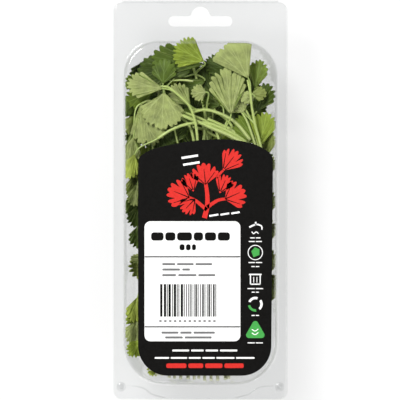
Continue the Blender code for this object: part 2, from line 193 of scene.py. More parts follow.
def face_outwards(piece: Piece) -> None:
    """Turn a closed mesh's normals outwards.

    Args:
        piece: the object to mend.
    """
    shape = bmesh.new()
    shape.from_mesh(piece.data)
    bmesh.ops.recalc_face_normals(shape, faces=shape.faces)
    shape.to_mesh(piece.data)
    shape.free()


def arc(centre_x: float, centre_y: float, radius: float, start: float, end: float, steps: int) -> list[Point]:
    """Points along an arc.

    Args:
        centre_x: the centre's X.
        centre_y: the centre's Y.
        radius: the arc's radius.
        start: first angle in degrees.
        end: last angle in degrees.
        steps: number of chords.

    Returns:
        The points, ends included.
    """
    angles = [math.radians(start + (end - start) * i / steps) for i in range(steps + 1)]
    return [(centre_x + radius * math.cos(a), centre_y + radius * math.sin(a)) for a in angles]


def rounded_box(low: Point, high: Point, corner: float, steps: int = 6, top: float | None = None,
                splits: int = 0) -> list[Point]:
    """A rectangle with round corners, anticlockwise from its right side.

    Args:
        low: its lower left corner.
        high: its upper right corner.
        corner: radius of the corners.
        steps: chords in each corner.
        top: radius of the upper corners, the same if left out.
        splits: points to add along its foot.

    Returns:
        The outline's points.
    """
    (x0, y0), (x1, y1) = low, high
    top = corner if top is None else top
    foot = x1 - x0 - 2 * corner
    outline = arc(x1 - top, y1 - top, top, 0, 90, steps)
    outline += arc(x0 + top, y1 - top, top, 90, 180, steps)
    outline += arc(x0 + corner, y0 + corner, corner, 180, 270, steps)
    outline += [(x0 + corner + foot * (i + 1) / (splits + 1), y0) for i in range(splits)]
    return outline + arc(x1 - corner, y0 + corner, corner, 270, 360, steps)


def smooth_path(points: Sequence, pieces: int) -> list[tuple]:
    """A Catmull-Rom curve through points.

    Args:
        points: the points to pass, of two or three numbers each.
        pieces: chords between neighbouring points.

    Returns:
        The curve's points, both ends included.
    """
    path = [points[0], *points, points[-1]]
    found = []
    for before, start, end, after in zip(path, path[1:], path[2:], path[3:]):
        for piece in range(pieces):
            t = piece / pieces
            found.append(tuple(
                0.5 * (2 * b + (c - a) * t + (2 * a - 5 * b + 4 * c - d) * t**2
                       + (3 * b - a - 3 * c + d) * t**3)
                for a, b, c, d in zip(before, start, end, after)
            ))
    found.append(tuple(points[-1]))
    return found


def prism(name: str, outline: Sequence[Point], low: float, high: float, material: Material) -> Piece:
    """A flat closed shape with straight sides.

    Args:
        name: the object's name.
        outline: its points, anticlockwise.
        low: height of its lower face.
        high: height of its upper face.
        material: its finish.

    Returns:
        The new object.
    """
    count = len(outline)
    vertices = [(x, y, z) for z in (low, high) for x, y in outline]
    return new_object(name, vertices, end_faces(2, count) + tube_faces(2, count), [material], False)


def joined(name: str, pieces: Sequence[Piece]) -> Piece:
    """Join pieces into one object.

    Args:
        name: the object's name.
        pieces: objects to join; they are removed.

    Returns:
        The joined object, with every finish of its pieces.
    """
    materials: list[Material] = []
    shape = bmesh.new()
    for piece in pieces:
        offset = []
        for material in piece.data.materials:
            if material not in materials:
                materials.append(material)
            offset.append(materials.index(material))
        before = len(shape.faces)
        shape.from_mesh(piece.data)
        shape.faces.ensure_lookup_table()
        for face in shape.faces[before:]:
            face.material_index = offset[face.material_index]
    mesh = bpy.data.meshes.new(name)
    shape.to_mesh(mesh)
    shape.free()
    for material in materials:
        mesh.materials.append(material)
    for piece in pieces:
        bpy.data.objects.remove(piece, do_unlink=True)
    return put(name, mesh)


class Graph:
    """A material's node tree, with short ways to add nodes and join them."""

    def __init__(self, name: str) -> None:
        """Start an empty tree.

        Args:
            name: the material's name.
        """
        self.material = bpy.data.materials.new(name)
        self.material.use_nodes = True
        self.tree = self.material.node_tree
        self.tree.nodes.clear()
        self.output = self.tree.nodes.new("ShaderNodeOutputMaterial")

    def add(self, kind: str, values: dict | None = None, **settings: object) -> bpy.types.Node:
        """Add a node.

        Args:
            kind: the node's type without its "ShaderNode" start.
            values: socket name or number to a value, or to a socket to link from.
            **settings: the node's own properties.

        Returns:
            The new node.
        """
        node = self.tree.nodes.new("ShaderNode" + kind)
        for key, value in settings.items():
            setattr(node, key, value)
        for key, value in (values or {}).items():
            if isinstance(value, Socket):
                self.tree.links.new(value, node.inputs[key])
            else:
                node.inputs[key].default_value = value
        return node

    def ramp(self, factor: Socket, low: Colour, high: Colour, start: float = 0.3, end: float = 0.7) -> Socket:
        """A colour ramp between two colours.

        Args:
            factor: the socket that drives it.
            low: colour at its start.
            high: colour at its end.
            start: where the change begins.
            end: where it ends.

        Returns:
            The ramp's colour socket.
        """
        node = self.add("ValToRGB", {"Fac": factor})
        for stop, colour, place in zip(node.color_ramp.elements, (low, high), (start, end)):
            stop.position, stop.color = place, (*colour, 1.0)
        return node.outputs["Color"]

    def share(self, factor: Socket, low: float, high: float, start: float = 0.3, end: float = 0.7) -> Socket:
        """A ramp between two numbers, as ramp makes it between two colours."""
        return self.ramp(factor, (low,) * 3, (high,) * 3, start, end)

    def stored(self, name: str) -> Socket:
        """The numbers stored on the mesh under that name."""
        return self.add("Attribute", attribute_name=name).outputs["Fac"]

    def mix(self, factor: float | Socket, first: Colour | Socket, second: Colour | Socket) -> Socket:
        """Mix two colours.

        Args:
            factor: a number or a socket.
            first: a colour or a socket.
            second: a colour or a socket.

        Returns:
            The mixed colour's socket.
        """
        node = self.add("MixRGB", {"Fac": factor})
        for key, value in (("Color1", first), ("Color2", second)):
            if isinstance(value, Socket):
                self.tree.links.new(value, node.inputs[key])
            else:
                node.inputs[key].default_value = (*value, 1.0)
        return node.outputs["Color"]

    def noise(self, scale: float, detail: float = 2.0) -> Socket:
        """Noise in the object's own space.

        Args:
            scale: repeats per metre.
            detail: octaves.

        Returns:
            The noise's value socket.
        """
        place = self.add("TexCoord").outputs["Object"]
        return self.add("TexNoise", {"Vector": place, "Scale": scale, "Detail": detail}).outputs["Fac"]

    def bump(self, height: Socket, strength: float, distance: float) -> Socket:
        """A bump from a height.

        Args:
            height: the socket with the height.
            strength: from 0 to 1.
            distance: depth in metres.

        Returns:
            The normal's socket.
        """
        values = {"Height": height, "Strength": strength, "Distance": distance}
        return self.add("Bump", values).outputs["Normal"]

    def principled(self, values: dict) -> Material:
        """End the tree in a Principled shader.

        Args:
            values: its sockets.

        Returns:
            The material.
        """
        return self.finish(self.add("BsdfPrincipled", values))

    def finish(self, shader: bpy.types.Node) -> Material:
        """End the tree in that shader and return the material."""
        self.tree.links.new(shader.outputs[0], self.output.inputs["Surface"])
        return self.material


# ---------------------------------------------------------------- finishes


def scaled(colour: Colour, factor: float, lift: float = 0.0) -> Colour:
    """A colour made lighter or darker, each part held to 1."""
    return tuple(min(1.0, part * factor + lift) for part in colour)


class LeafTone(Enum):
    """Greens of the leaves, as the colour of the upper side and of the underside. The bright tone is partly
    painted light and the dark tone partly painted shade.
    """

    # painted light: the bright tone is a lighter, yellower copy of the mid green, for leaves that catch the
    # light near the lid
    BRIGHT = ((0.205, 0.272, 0.026), (0.315, 0.378, 0.056))
    MID = ((0.078, 0.124, 0.012), (0.200, 0.240, 0.060))
    # painted shade: the dark tone is the mid green darkened, for leaves that lie in shade deep in the pile or
    # in folds
    DARK = ((0.048, 0.079, 0.007), (0.130, 0.170, 0.040))
    OLIVE = ((0.128, 0.190, 0.017), (0.200, 0.240, 0.055))
    PALE = ((0.140, 0.200, 0.030), (0.290, 0.335, 0.112))


BRIGHT, MID, DARK, OLIVE, PALE = LeafTone


@dataclass(frozen=True)
class LeafFinish:
    """One side of a leaf: blotched green, lighter veins and a faintly pitted, waxy skin."""

    name: str
    green: Colour
    is_under: bool
    shade: float = 0.64
    light: float = 1.30
    upper_vein: float = 1.7
    under_vein: float = 1.35
    vein_lift: float = 0.05
    blotch_scale: float = 210.0
    cell_scale: float = 1500.0
    pit_depth: float = 0.12 * MM

    def build(self) -> Material:
        """Build the finish.

        Returns:
            Its material.
        """
        graph = Graph(self.name)
        light = scaled(self.green, self.light)
        blotch = graph.ramp(graph.noise(self.blotch_scale, 5.0), scaled(self.green, self.shade), light)
        cells = graph.noise(self.cell_scale, 3.0)
        speckled = graph.mix(graph.share(cells, 0.0, 0.35, 0.45, 0.75), blotch, light)
        vein = graph.stored("vein")
        factor = self.under_vein if self.is_under else self.upper_vein
        vein_green = scaled(self.green, factor, self.vein_lift)
        veined = graph.mix(graph.share(vein, 0.0, 0.6, 0.15, 0.9), speckled, vein_green)
        rimmed = graph.mix(graph.share(graph.stored("rim"), 0.0, 0.55, 0.8, 1.0), veined, light)
        return graph.principled({
            "Base Color": rimmed,
            "Roughness": graph.share(cells, 0.48, 0.66),
            "Specular IOR Level": 0.26,
            "Normal": graph.bump(graph.mix(0.35, vein, cells), 0.5, self.pit_depth),
        })


@dataclass(frozen=True)
class StemFinish:
    """A smooth, moist stem with fine ribs, greener towards its leaves and paler at its foot."""

    name: str
    green: Colour
    foot: Colour
    shade: float = 0.62
    light: float = 1.28
    shade_scale: float = 420.0
    gloss_scale: float = 900.0
    grain_scale: float = 2600.0
    rib_height: float = 0.08 * MM

    def build(self) -> Material:
        """Build the finish.

        Returns:
            Its material.
        """
        graph = Graph(self.name)
        rib = graph.stored("rib")
        base = graph.ramp(graph.stored("along"), self.green, self.foot, 0.25, 1.0)
        light = scaled(self.foot, self.light)
        patches = graph.share(graph.noise(self.shade_scale, 3.0), 0.0, 0.45)
        shaded = graph.mix(patches, base, scaled(self.green, self.shade))
        return graph.principled({
            "Base Color": graph.mix(graph.share(rib, 0.0, 0.55, 0.2, 0.9), shaded, light),
            "Roughness": graph.share(graph.noise(self.gloss_scale), 0.26, 0.42),
            "Specular IOR Level": 0.55,
            "Normal": graph.bump(graph.mix(0.4, rib, graph.noise(self.grain_scale)), 0.4, self.rib_height),
        })


@dataclass(frozen=True)
class CutFinish:
    """The pale, wet face where a stem was cut."""

    name: str = "stem_cut"
    rim: Colour = (0.40, 0.45, 0.20)
    pith: Colour = (0.66, 0.68, 0.42)
    grain_scale: float = 1800.0

    def build(self) -> Material:
        """Build the finish.

        Returns:
            Its material.
        """
        graph = Graph(self.name)
        pith = graph.ramp(graph.noise(self.grain_scale, 3.0), self.rim, self.pith)
        return graph.principled({"Base Color": pith, "Roughness": 0.35})


@dataclass(frozen=True)
class ClearSheetFinish:
    """Clear thermoformed sheet: see-through, glossy at a slant, with faint forming ripples."""

    name: str = "clear_sheet"
    tint: Colour = (0.968, 0.970, 0.970)
    roughness: float = 0.07
    slant: float = 0.35
    facing_gloss: float = 0.012
    grazing_gloss: float = 0.34
    ripple_scale: float = 75.0
    ripple_depth: float = 0.6 * MM

    def build(self) -> Material:
        """Build the finish.

        Returns:
            Its material.
        """
        graph = Graph(self.name)
        ripple = graph.bump(graph.noise(self.ripple_scale), 0.22, self.ripple_depth)
        clear = graph.add("BsdfTransparent", {"Color": (*self.tint, 1.0)})
        gloss = graph.add("BsdfGlossy", {"Roughness": self.roughness, "Normal": ripple})
        slant = graph.add("LayerWeight", {"Blend": self.slant, "Normal": ripple}).outputs["Facing"]
        share = graph.share(slant, self.facing_gloss, self.grazing_gloss, 0.0, 1.0)
        sheet = graph.add("MixShader", {0: share, 1: clear.outputs[0], 2: gloss.outputs[0]})
        return graph.finish(sheet)


@dataclass(frozen=True)
class PrintFinish:
    """Coated label stock or ink: an even colour with a faint paper tooth."""

    name: str
    colour: Colour
    roughness: float = 0.42
    tooth_scale: float = 1300.0
    tooth_depth: float = 0.03 * MM

    def build(self) -> Material:
        """Build the finish.

        Returns:
            Its material.
        """
        graph = Graph(self.name)
        tooth = graph.noise(self.tooth_scale, 4.0)
        return graph.principled({
            "Base Color": graph.ramp(tooth, scaled(self.colour, 0.9), scaled(self.colour, 1.06, 0.002)),
            "Roughness": graph.share(graph.noise(500.0, 3.0), self.roughness, self.roughness + 0.12),
            "Specular IOR Level": 0.09,
            "Normal": graph.bump(tooth, 0.25, self.tooth_depth),
        })


@dataclass
class Palette:
    """Every finish of the pack, built once."""

    leaf: dict[LeafTone, tuple[Material, Material]] = field(default_factory=dict)
    stem: Material | None = None
    petiole: Material | None = None
    foot: Material | None = None
    cut: Material | None = None
    clear: Material | None = None
    black: Material | None = None
    white: Material | None = None
    red: Material | None = None
    green: Material | None = None
    grey: Material | None = None

    def build(self) -> "Palette":
        """Build all finishes.

        Returns:
            This palette.
        """
        for tone in LeafTone:
            upper, under = tone.value
            name = tone.name.lower()
            self.leaf[tone] = (
                LeafFinish(f"leaf_{name}_upper", upper, False).build(),
                LeafFinish(f"leaf_{name}_under", under, True).build(),
            )
        self.stem = StemFinish("stem_green", (0.40, 0.51, 0.13), (0.58, 0.66, 0.27)).build()
        self.petiole = StemFinish("petiole_green", (0.33, 0.44, 0.11), (0.44, 0.54, 0.17)).build()
        self.foot = StemFinish("stem_foot_pale", (0.40, 0.51, 0.13), (0.74, 0.74, 0.54)).build()
        self.cut = CutFinish().build()
        self.clear = ClearSheetFinish().build()
        self.black = PrintFinish("label_black", (0.0030, 0.0027, 0.0023)).build()
        self.white = PrintFinish("ink_white", (0.86, 0.86, 0.85), 0.5).build()
        self.red = PrintFinish("ink_red", (0.60, 0.028, 0.022), 0.45).build()
        self.green = PrintFinish("ink_green", (0.060, 0.34, 0.070), 0.45).build()
        self.grey = PrintFinish("ink_grey", (0.16, 0.16, 0.16), 0.5).build()
        return self


# ---------------------------------------------------------------- the room inside the pack


@dataclass
class PackSpace:
    """The tray's mouth and the room under it, from the frame's tray and lid."""

    half_width: float = 38.25 * MM
    low_y: float = -91.3 * MM
    high_y: float = 79.25 * MM
    top_corner: float = 17.0 * MM
    bottom_corner: float = 20.0 * MM
    bow: float = 0.9 * MM
    floor: float = 2.2 * MM
    draft: float = 5.0 * MM
    wall_gap: float = 0.9 * MM
    lid_gap: float = 0.5 * MM
    shoulder_drop: float = 2.0 * MM
    shoulder_run: float = 3.0 * MM
    roof_drop: float = 2.2 * MM
    roof_run: float = 2.0 * MM
    wave_x: float = 13.0 * MM
    wave_y: float = 17.0 * MM
    wave_height: float = 6.0 * MM
    flange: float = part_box("lid")[0].z - 0.3 * MM
    lid_under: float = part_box("lid")[1].z - 0.5 * MM

    def mouth(self, inset: float) -> list[Point]:
        """The mouth's outline.

        Args:
            inset: how far it is moved inwards.

        Returns:
            The outline's points, anticlockwise.
        """
        half, low, high = self.half_width - inset, self.low_y + inset, self.high_y - inset
        top, bottom = self.top_corner - inset, self.bottom_corner - inset
        outline = rounded_box((-half, low), (half, high), bottom, CORNER_STEPS, top, FOOT_POINTS)
        return [(x, y - self.bow * (1 - (x / half) ** 2) if y < low + bottom else y) for x, y in outline]

    def wall_distance(self, x: np.ndarray, y: np.ndarray) -> np.ndarray:
        """How far points lie inside the mouth.

        Args:
            x: the points' X.
            y: the points' Y.

        Returns:
            Distances, negative outside.
        """
        corner = np.where(y > 0, self.top_corner, self.bottom_corner)
        middle, half_length = (self.low_y + self.high_y) / 2, (self.high_y - self.low_y) / 2
        past_x = np.abs(x) - (self.half_width - corner)
        past_y = np.abs(y - middle) - (half_length - corner)
        outside = np.hypot(np.maximum(past_x, 0), np.maximum(past_y, 0))
        return corner - outside - np.minimum(np.maximum(past_x, past_y), 0)

    def height(self, share: float, x: np.ndarray, y: np.ndarray) -> np.ndarray:
        """Height of a layer of the pile.

        Args:
            share: 0 on the tray's floor, 1 under the lid.
            x: the points' X.
            y: the points' Y.

        Returns:
            Heights of the layer.
        """
        inset = self.wall_distance(x, y) - self.wall_gap
        rise = np.clip(1 - inset / self.draft, 0, 1)
        low = self.floor + (self.flange - self.floor) * rise
        shoulder = np.clip(1 - inset / self.shoulder_run, 0, 1) ** 2
        high = self.lid_under - self.lid_gap - self.shoulder_drop * shoulder
        across, along = x / self.wave_x, y / self.wave_y
        wave = np.sin(across + 0.8) * np.cos(along) + 0.4 * np.sin(across + 2 * along)
        return low + (high - low) * share + self.wave_height * share * (1 - share) * wave

    def pull_in(self, x: np.ndarray, y: np.ndarray, z: np.ndarray, slack: float) -> Arrays:
        """Move points that would pass the tray's wall back inside it.

        Args:
            x: the points' X.
            y: the points' Y.
            z: their heights.
            slack: gap to keep to the wall.

        Returns:
            The moved X and Y.
        """
        depth = np.clip((self.flange - z) / (self.flange - self.floor), 0, 1)
        short = np.clip(slack + self.draft * depth - self.wall_distance(x, y), 0, None)
        step = 0.1 * MM
        slope_x = (self.wall_distance(x + step, y) - self.wall_distance(x - step, y)) / (2 * step)
        slope_y = (self.wall_distance(x, y + step) - self.wall_distance(x, y - step)) / (2 * step)
        return x + slope_x * short, y + slope_y * short

    def keep_in(self, x: np.ndarray, y: np.ndarray, z: np.ndarray, slack: float) -> np.ndarray:
        """Hold heights under the lid.

        Args:
            x: the points' X.
            y: the points' Y.
            z: their heights.
            slack: gap to keep under the lid.

        Returns:
            The held heights.
        """
        inset = self.wall_distance(x, y)
        roof = self.lid_under - slack - self.roof_drop * np.clip(1 - inset / self.roof_run, 0, 1)
        return np.minimum(z, roof)


# ---------------------------------------------------------------- leaves


@dataclass
class LeafSeat:
    """Where a leaflet sits: its base, its heading and the surface it lies on."""

    x: float
    y: float
    heading: float
    length: float
    spread: float
    surface: Surface

    @classmethod
    def from_node(cls, node: str) -> "LeafSeat":
        """Read the seat from a frame node.

        Args:
            node: the plain blade's name.

        Returns:
            The seat, with a curved surface fitted to the blade.
        """
        points = np.array([v.co[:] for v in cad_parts[node].data.vertices])
        flat = points[:, :2]
        apart = np.linalg.norm(flat[:, None] - flat[None], axis=2)
        crowd = (apart < BASE_REACH).sum(1)
        base = flat[apart[crowd.argmax()] < BASE_REACH].mean(0)
        spoke = flat - base
        reach = np.linalg.norm(spoke, axis=1)
        length = reach.max()
        rim = spoke[reach > 0.5 * length]
        heading = math.atan2(*(rim / np.linalg.norm(rim, axis=1)[:, None]).sum(0)[::-1])
        turned = np.arctan2(rim[:, 1], rim[:, 0]) - heading
        turned = (turned + math.pi) % (2 * math.pi) - math.pi
        heading += (turned.max() + turned.min()) / 2
        spread = (turned.max() - turned.min()) / 2
        terms = cls._terms(spoke[:, 0], spoke[:, 1])
        weights = np.linalg.lstsq(terms, points[:, 2], rcond=None)[0]

        def surface(x: np.ndarray, y: np.ndarray) -> np.ndarray:
            """Height of the fitted surface at points in the plan."""
            at = cls._terms(np.ravel(x) - base[0], np.ravel(y) - base[1])
            return (at @ weights).reshape(np.shape(x))

        return cls(float(base[0]), float(base[1]), heading, float(length), spread, surface)

    @staticmethod
    def _terms(x: np.ndarray, y: np.ndarray) -> np.ndarray:
        """Terms of a quadratic surface, with lengths in centimetres."""
        u, v = x * 100, y * 100
        return np.stack([np.ones_like(u), u, v, u * u, u * v, v * v], axis=1)


@dataclass
class LeafStyle:
    """How one leaflet looks."""

    tone: LeafTone = MID
    under_up: bool = True
    teeth: int = 9
    notch: float = 0.11
    lobe: float = 0.07
    ruffle: float = 0.4 * MM
    widen: float = 1.0
    stretch: float = 1.05
    fall: float = 0.48
    turn: float = 0.0
    droop: float = 0.6 * MM
    over_rim: bool = False


@dataclass
class Leaflet:
    """A fan-shaped coriander leaflet with lobes, round teeth and branching veins."""

    name: str
    seat: LeafSeat
    style: LeafStyle
    seed: int
    rows: int = 18
    columns: int = 84
    thickness: float = 0.16 * MM
    stalk_width: float = 0.9 * MM
    crest_power: float = 0.8
    gap_width: float = 0.07
    lobes: tuple[float, ...] = (-0.66, 0.0, 0.66)
    branch_reach: float = 0.40
    vein_width: float = 0.24 * MM
    branch_width: float = 0.16 * MM
    vein_height: float = 0.06 * MM
    wall_slack: float = 0.7 * MM
    lid_slack: float = 0.22 * MM
    wave: float = field(init=False, default=0.0)

    def fan(self, across: np.ndarray) -> Arrays:
        """The blade's plain edge, before lobes and teeth are cut into it.

        Args:
            across: places across the fan, from -1 to 1.

        Returns:
            The edge's places along and across the leaf.
        """
        reach = self.seat.length * self.style.stretch * (1.0 - self.style.fall * across**2)
        turn = self.seat.spread * self.style.widen * across
        return reach * np.cos(turn), reach * np.sin(turn)

    def rim(self, across: np.ndarray) -> Arrays:
        """The blade's edge, with round teeth cut square to the plain edge.

        Args:
            across: places across the fan, from -1 to 1.

        Returns:
            The edge's places along and across the leaf.
        """
        style, step = self.style, 0.01
        bent = across + 0.03 * np.sin(5.0 * across + self.wave)
        u, v = self.fan(bent)
        ahead, behind = self.fan(bent + step), self.fan(bent - step)
        run_u, run_v = ahead[0] - behind[0], ahead[1] - behind[1]
        run = np.hypot(run_u, run_v)
        crest = np.abs(np.cos(np.pi * style.teeth * bent / 2)) ** self.crest_power
        uneven = 1.0 + 0.3 * np.sin(9.0 * across + 2 * self.wave)
        gap = np.exp(-(((np.abs(bent) - 3.0 / style.teeth) / self.gap_width) ** 2))
        cut = self.seat.length * (style.notch * uneven * (1.0 - crest) + style.lobe * gap)
        return u - cut * run_v / run, v + cut * run_u / run

    def veins(self, tips: np.ndarray) -> list[tuple]:
        """The vein segments.

        Args:
            tips: the teeth's places across the fan.

        Returns:
            Segments as (start, end, width), in the leaf's own plan.
        """
        found = []
        for lobe in self.lobes:
            top = np.array(self.rim(np.array(lobe))) * 0.95
            found.append((top * 0.02, top, self.vein_width))
            for rank, tip in enumerate(t for t in tips if 0.05 < abs(t - lobe) < self.branch_reach):
                end = np.array(self.rim(np.array(tip))) * 0.96
                found.append((top * (0.34 + 0.13 * (rank % 3)), end, self.branch_width))
        return found

    def build(self, space: PackSpace, palette: Palette) -> Piece:
        """Build the blade.

        Args:
            space: the room it lies in.
            palette: the finishes.

        Returns:
            The blade.
        """
        rng = random.Random(self.seed)
        self.wave = rng.uniform(0, 6.28)
        seat, style = self.seat, self.style
        across = np.linspace(-1, 1, self.columns + 1)[None, :].repeat(self.rows + 1, 0)
        along = (np.linspace(0, 1, self.rows + 1) ** 0.8)[:, None].repeat(self.columns + 1, 1)
        heading = seat.heading + math.radians(style.turn)
        cos_h, sin_h = math.cos(heading), math.sin(heading)
        rim_u, rim_v = self.rim(across)
        if not style.over_rim:
            x, y = seat.x + rim_u * cos_h - rim_v * sin_h, seat.y + rim_u * sin_h + rim_v * cos_h
            x, y = space.pull_in(x, y, seat.surface(x, y), self.wall_slack)
            rim_u = (x - seat.x) * cos_h + (y - seat.y) * sin_h
            rim_v = (y - seat.y) * cos_h - (x - seat.x) * sin_h
        u = rim_u * along
        v = rim_v * along + (1 - along) * self.stalk_width / 2 * across
        tips = 2 * np.arange(-(style.teeth // 2), style.teeth // 2 + 1) / style.teeth
        vein = np.zeros_like(u)
        for start, end, width in self.veins(tips):
            axis = end - start
            t = np.clip(((u - start[0]) * axis[0] + (v - start[1]) * axis[1]) / (axis @ axis), 0, 1)
            away = np.hypot(u - start[0] - t * axis[0], v - start[1] - t * axis[1])
            vein = np.maximum(vein, np.exp(-((away / (width * (1.15 - 0.5 * t))) ** 2)))
        x = seat.x + u * cos_h - v * sin_h
        y = seat.y + u * sin_h + v * cos_h
        z = seat.surface(x, y)
        ripple = 0.45 * np.sin(across * rng.uniform(7, 10) + rng.uniform(0, 6.28)) * along**3
        ripple = ripple + np.sin(along * 4 + across * 3 + rng.uniform(0, 6.28)) * along
        droop = -style.droop * across**2 * along**2
        z = z + style.ruffle * ripple + droop + self.vein_height * vein * (1 if style.under_up else -1)
        z = space.keep_in(x, y, z, self.lid_slack)
        vertices = np.stack([x, y, z], axis=2).reshape(-1, 3)
        count = self.columns + 1
        faces = [
            (r * count + c, r * count + c + 1, (r + 1) * count + c + 1, (r + 1) * count + c)
            for r in range(self.rows)
            for c in range(self.columns)
        ]
        upper, under = palette.leaf[style.tone]
        order = [under, upper] if style.under_up else [upper, under]
        piece = new_object(self.name, vertices, faces, order)
        if sum(face.normal.z * face.area for face in piece.data.polygons) < 0:
            piece.data.flip_normals()
        add_values(piece, {"vein": vein, "rim": along})
        solid = piece.modifiers.new("blade", "SOLIDIFY")
        solid.thickness = self.thickness
        solid.offset = -1.0
        solid.material_offset = 1
        bake_modifiers(piece)
        return piece


# ---------------------------------------------------------------- stems


@dataclass
class StemSeat:
    """A stem's middle line, from its leaf end to its cut end, and its radii."""

    points: list[tuple]
    radii: list[float]

    @classmethod
    def from_node(cls, node: str) -> "StemSeat":
        """Read the middle line from a frame node's rings.

        Args:
            node: the plain rod's name.

        Returns:
            The stem's seat.
        """
        vertices = np.array([v.co[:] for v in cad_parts[node].data.vertices])
        vertices = np.unique(np.round(vertices, 6), axis=0)
        left = set(range(len(vertices)))
        rings = []
        while left:
            group, edge = set(), [left.pop()]
            while edge:
                at = edge.pop()
                group.add(at)
                near = [i for i in left if np.linalg.norm(vertices[i] - vertices[at]) < RING_GAP]
                left.difference_update(near)
                edge.extend(near)
            ring = vertices[list(group)]
            centre = ring.mean(0)
            rings.append((centre, float(np.linalg.norm(ring - centre, axis=1).mean())))
        rings.sort(key=lambda ring: ring[0][1])
        chain = [rings.pop(0)]
        while rings:
            nearest = min(range(len(rings)), key=lambda i: np.linalg.norm(rings[i][0] - chain[-1][0]))
            chain.append(rings.pop(nearest))
        chain.reverse()
        return cls([tuple(c) for c, _ in chain], [r for _, r in chain])


@dataclass
class Stalk:
    """A ribbed tube along a smooth line: a stem, or the stalk of a leaf."""

    name: str
    points: list[tuple]
    radii: list[float]
    finish: Material
    cut: Material | None = None
    sides: int = 12
    pieces: int = 5
    ribs: int = 5
    rib_depth: float = 0.055
    rib_twist: float = 0.04

    def build(self) -> Piece:
        """Build the tube with its caps.

        Returns:
            The tube.
        """
        line = smooth_path([(*p, r) for p, r in zip(self.points, self.radii)], self.pieces)
        count = len(line)
        places = [Vector(p[:3]) for p in line]
        side = Vector((0, 0, 1))
        vertices, rib, along = [], [], []
        for i, (place, radius) in enumerate(zip(places, (p[3] for p in line))):
            ahead = places[min(i + 1, count - 1)] - places[max(i - 1, 0)]
            ahead.normalize()
            side = (side - ahead * side.dot(ahead)).normalized()
            across = ahead.cross(side)
            for k in range(self.sides):
                turn = 2 * math.pi * k / self.sides
                swell = math.cos(self.ribs * turn + self.rib_twist * i)
                reach = radius * (1 + self.rib_depth * swell)
                vertices.append(place + side * math.cos(turn) * reach + across * math.sin(turn) * reach)
                rib.append(0.5 + 0.5 * swell)
                along.append(i / (count - 1))
        faces = tube_faces(count, self.sides) + end_faces(count, self.sides)
        piece = new_object(self.name, vertices, faces, [self.finish, self.cut or self.finish])
        end = piece.data.polygons[-1]
        end.material_index, end.use_smooth = 1, False
        face_outwards(piece)
        add_values(piece, {"rib": rib, "along": along})
        return piece


# ---------------------------------------------------------------- the bunch


@dataclass
class ExtraLeaf:
    """A leaflet with no blade of its own in the frame, in millimetres and degrees."""

    x: float
    y: float
    heading: float
    length: float
    spread: float
    share: float
    style: LeafStyle

    def seat(self, space: PackSpace) -> LeafSeat:
        """The leaf's seat on its layer of the pile."""
        turns = math.radians(self.heading), self.length * MM, math.radians(self.spread)
        return LeafSeat(self.x * MM, self.y * MM, *turns, partial(space.height, self.share))


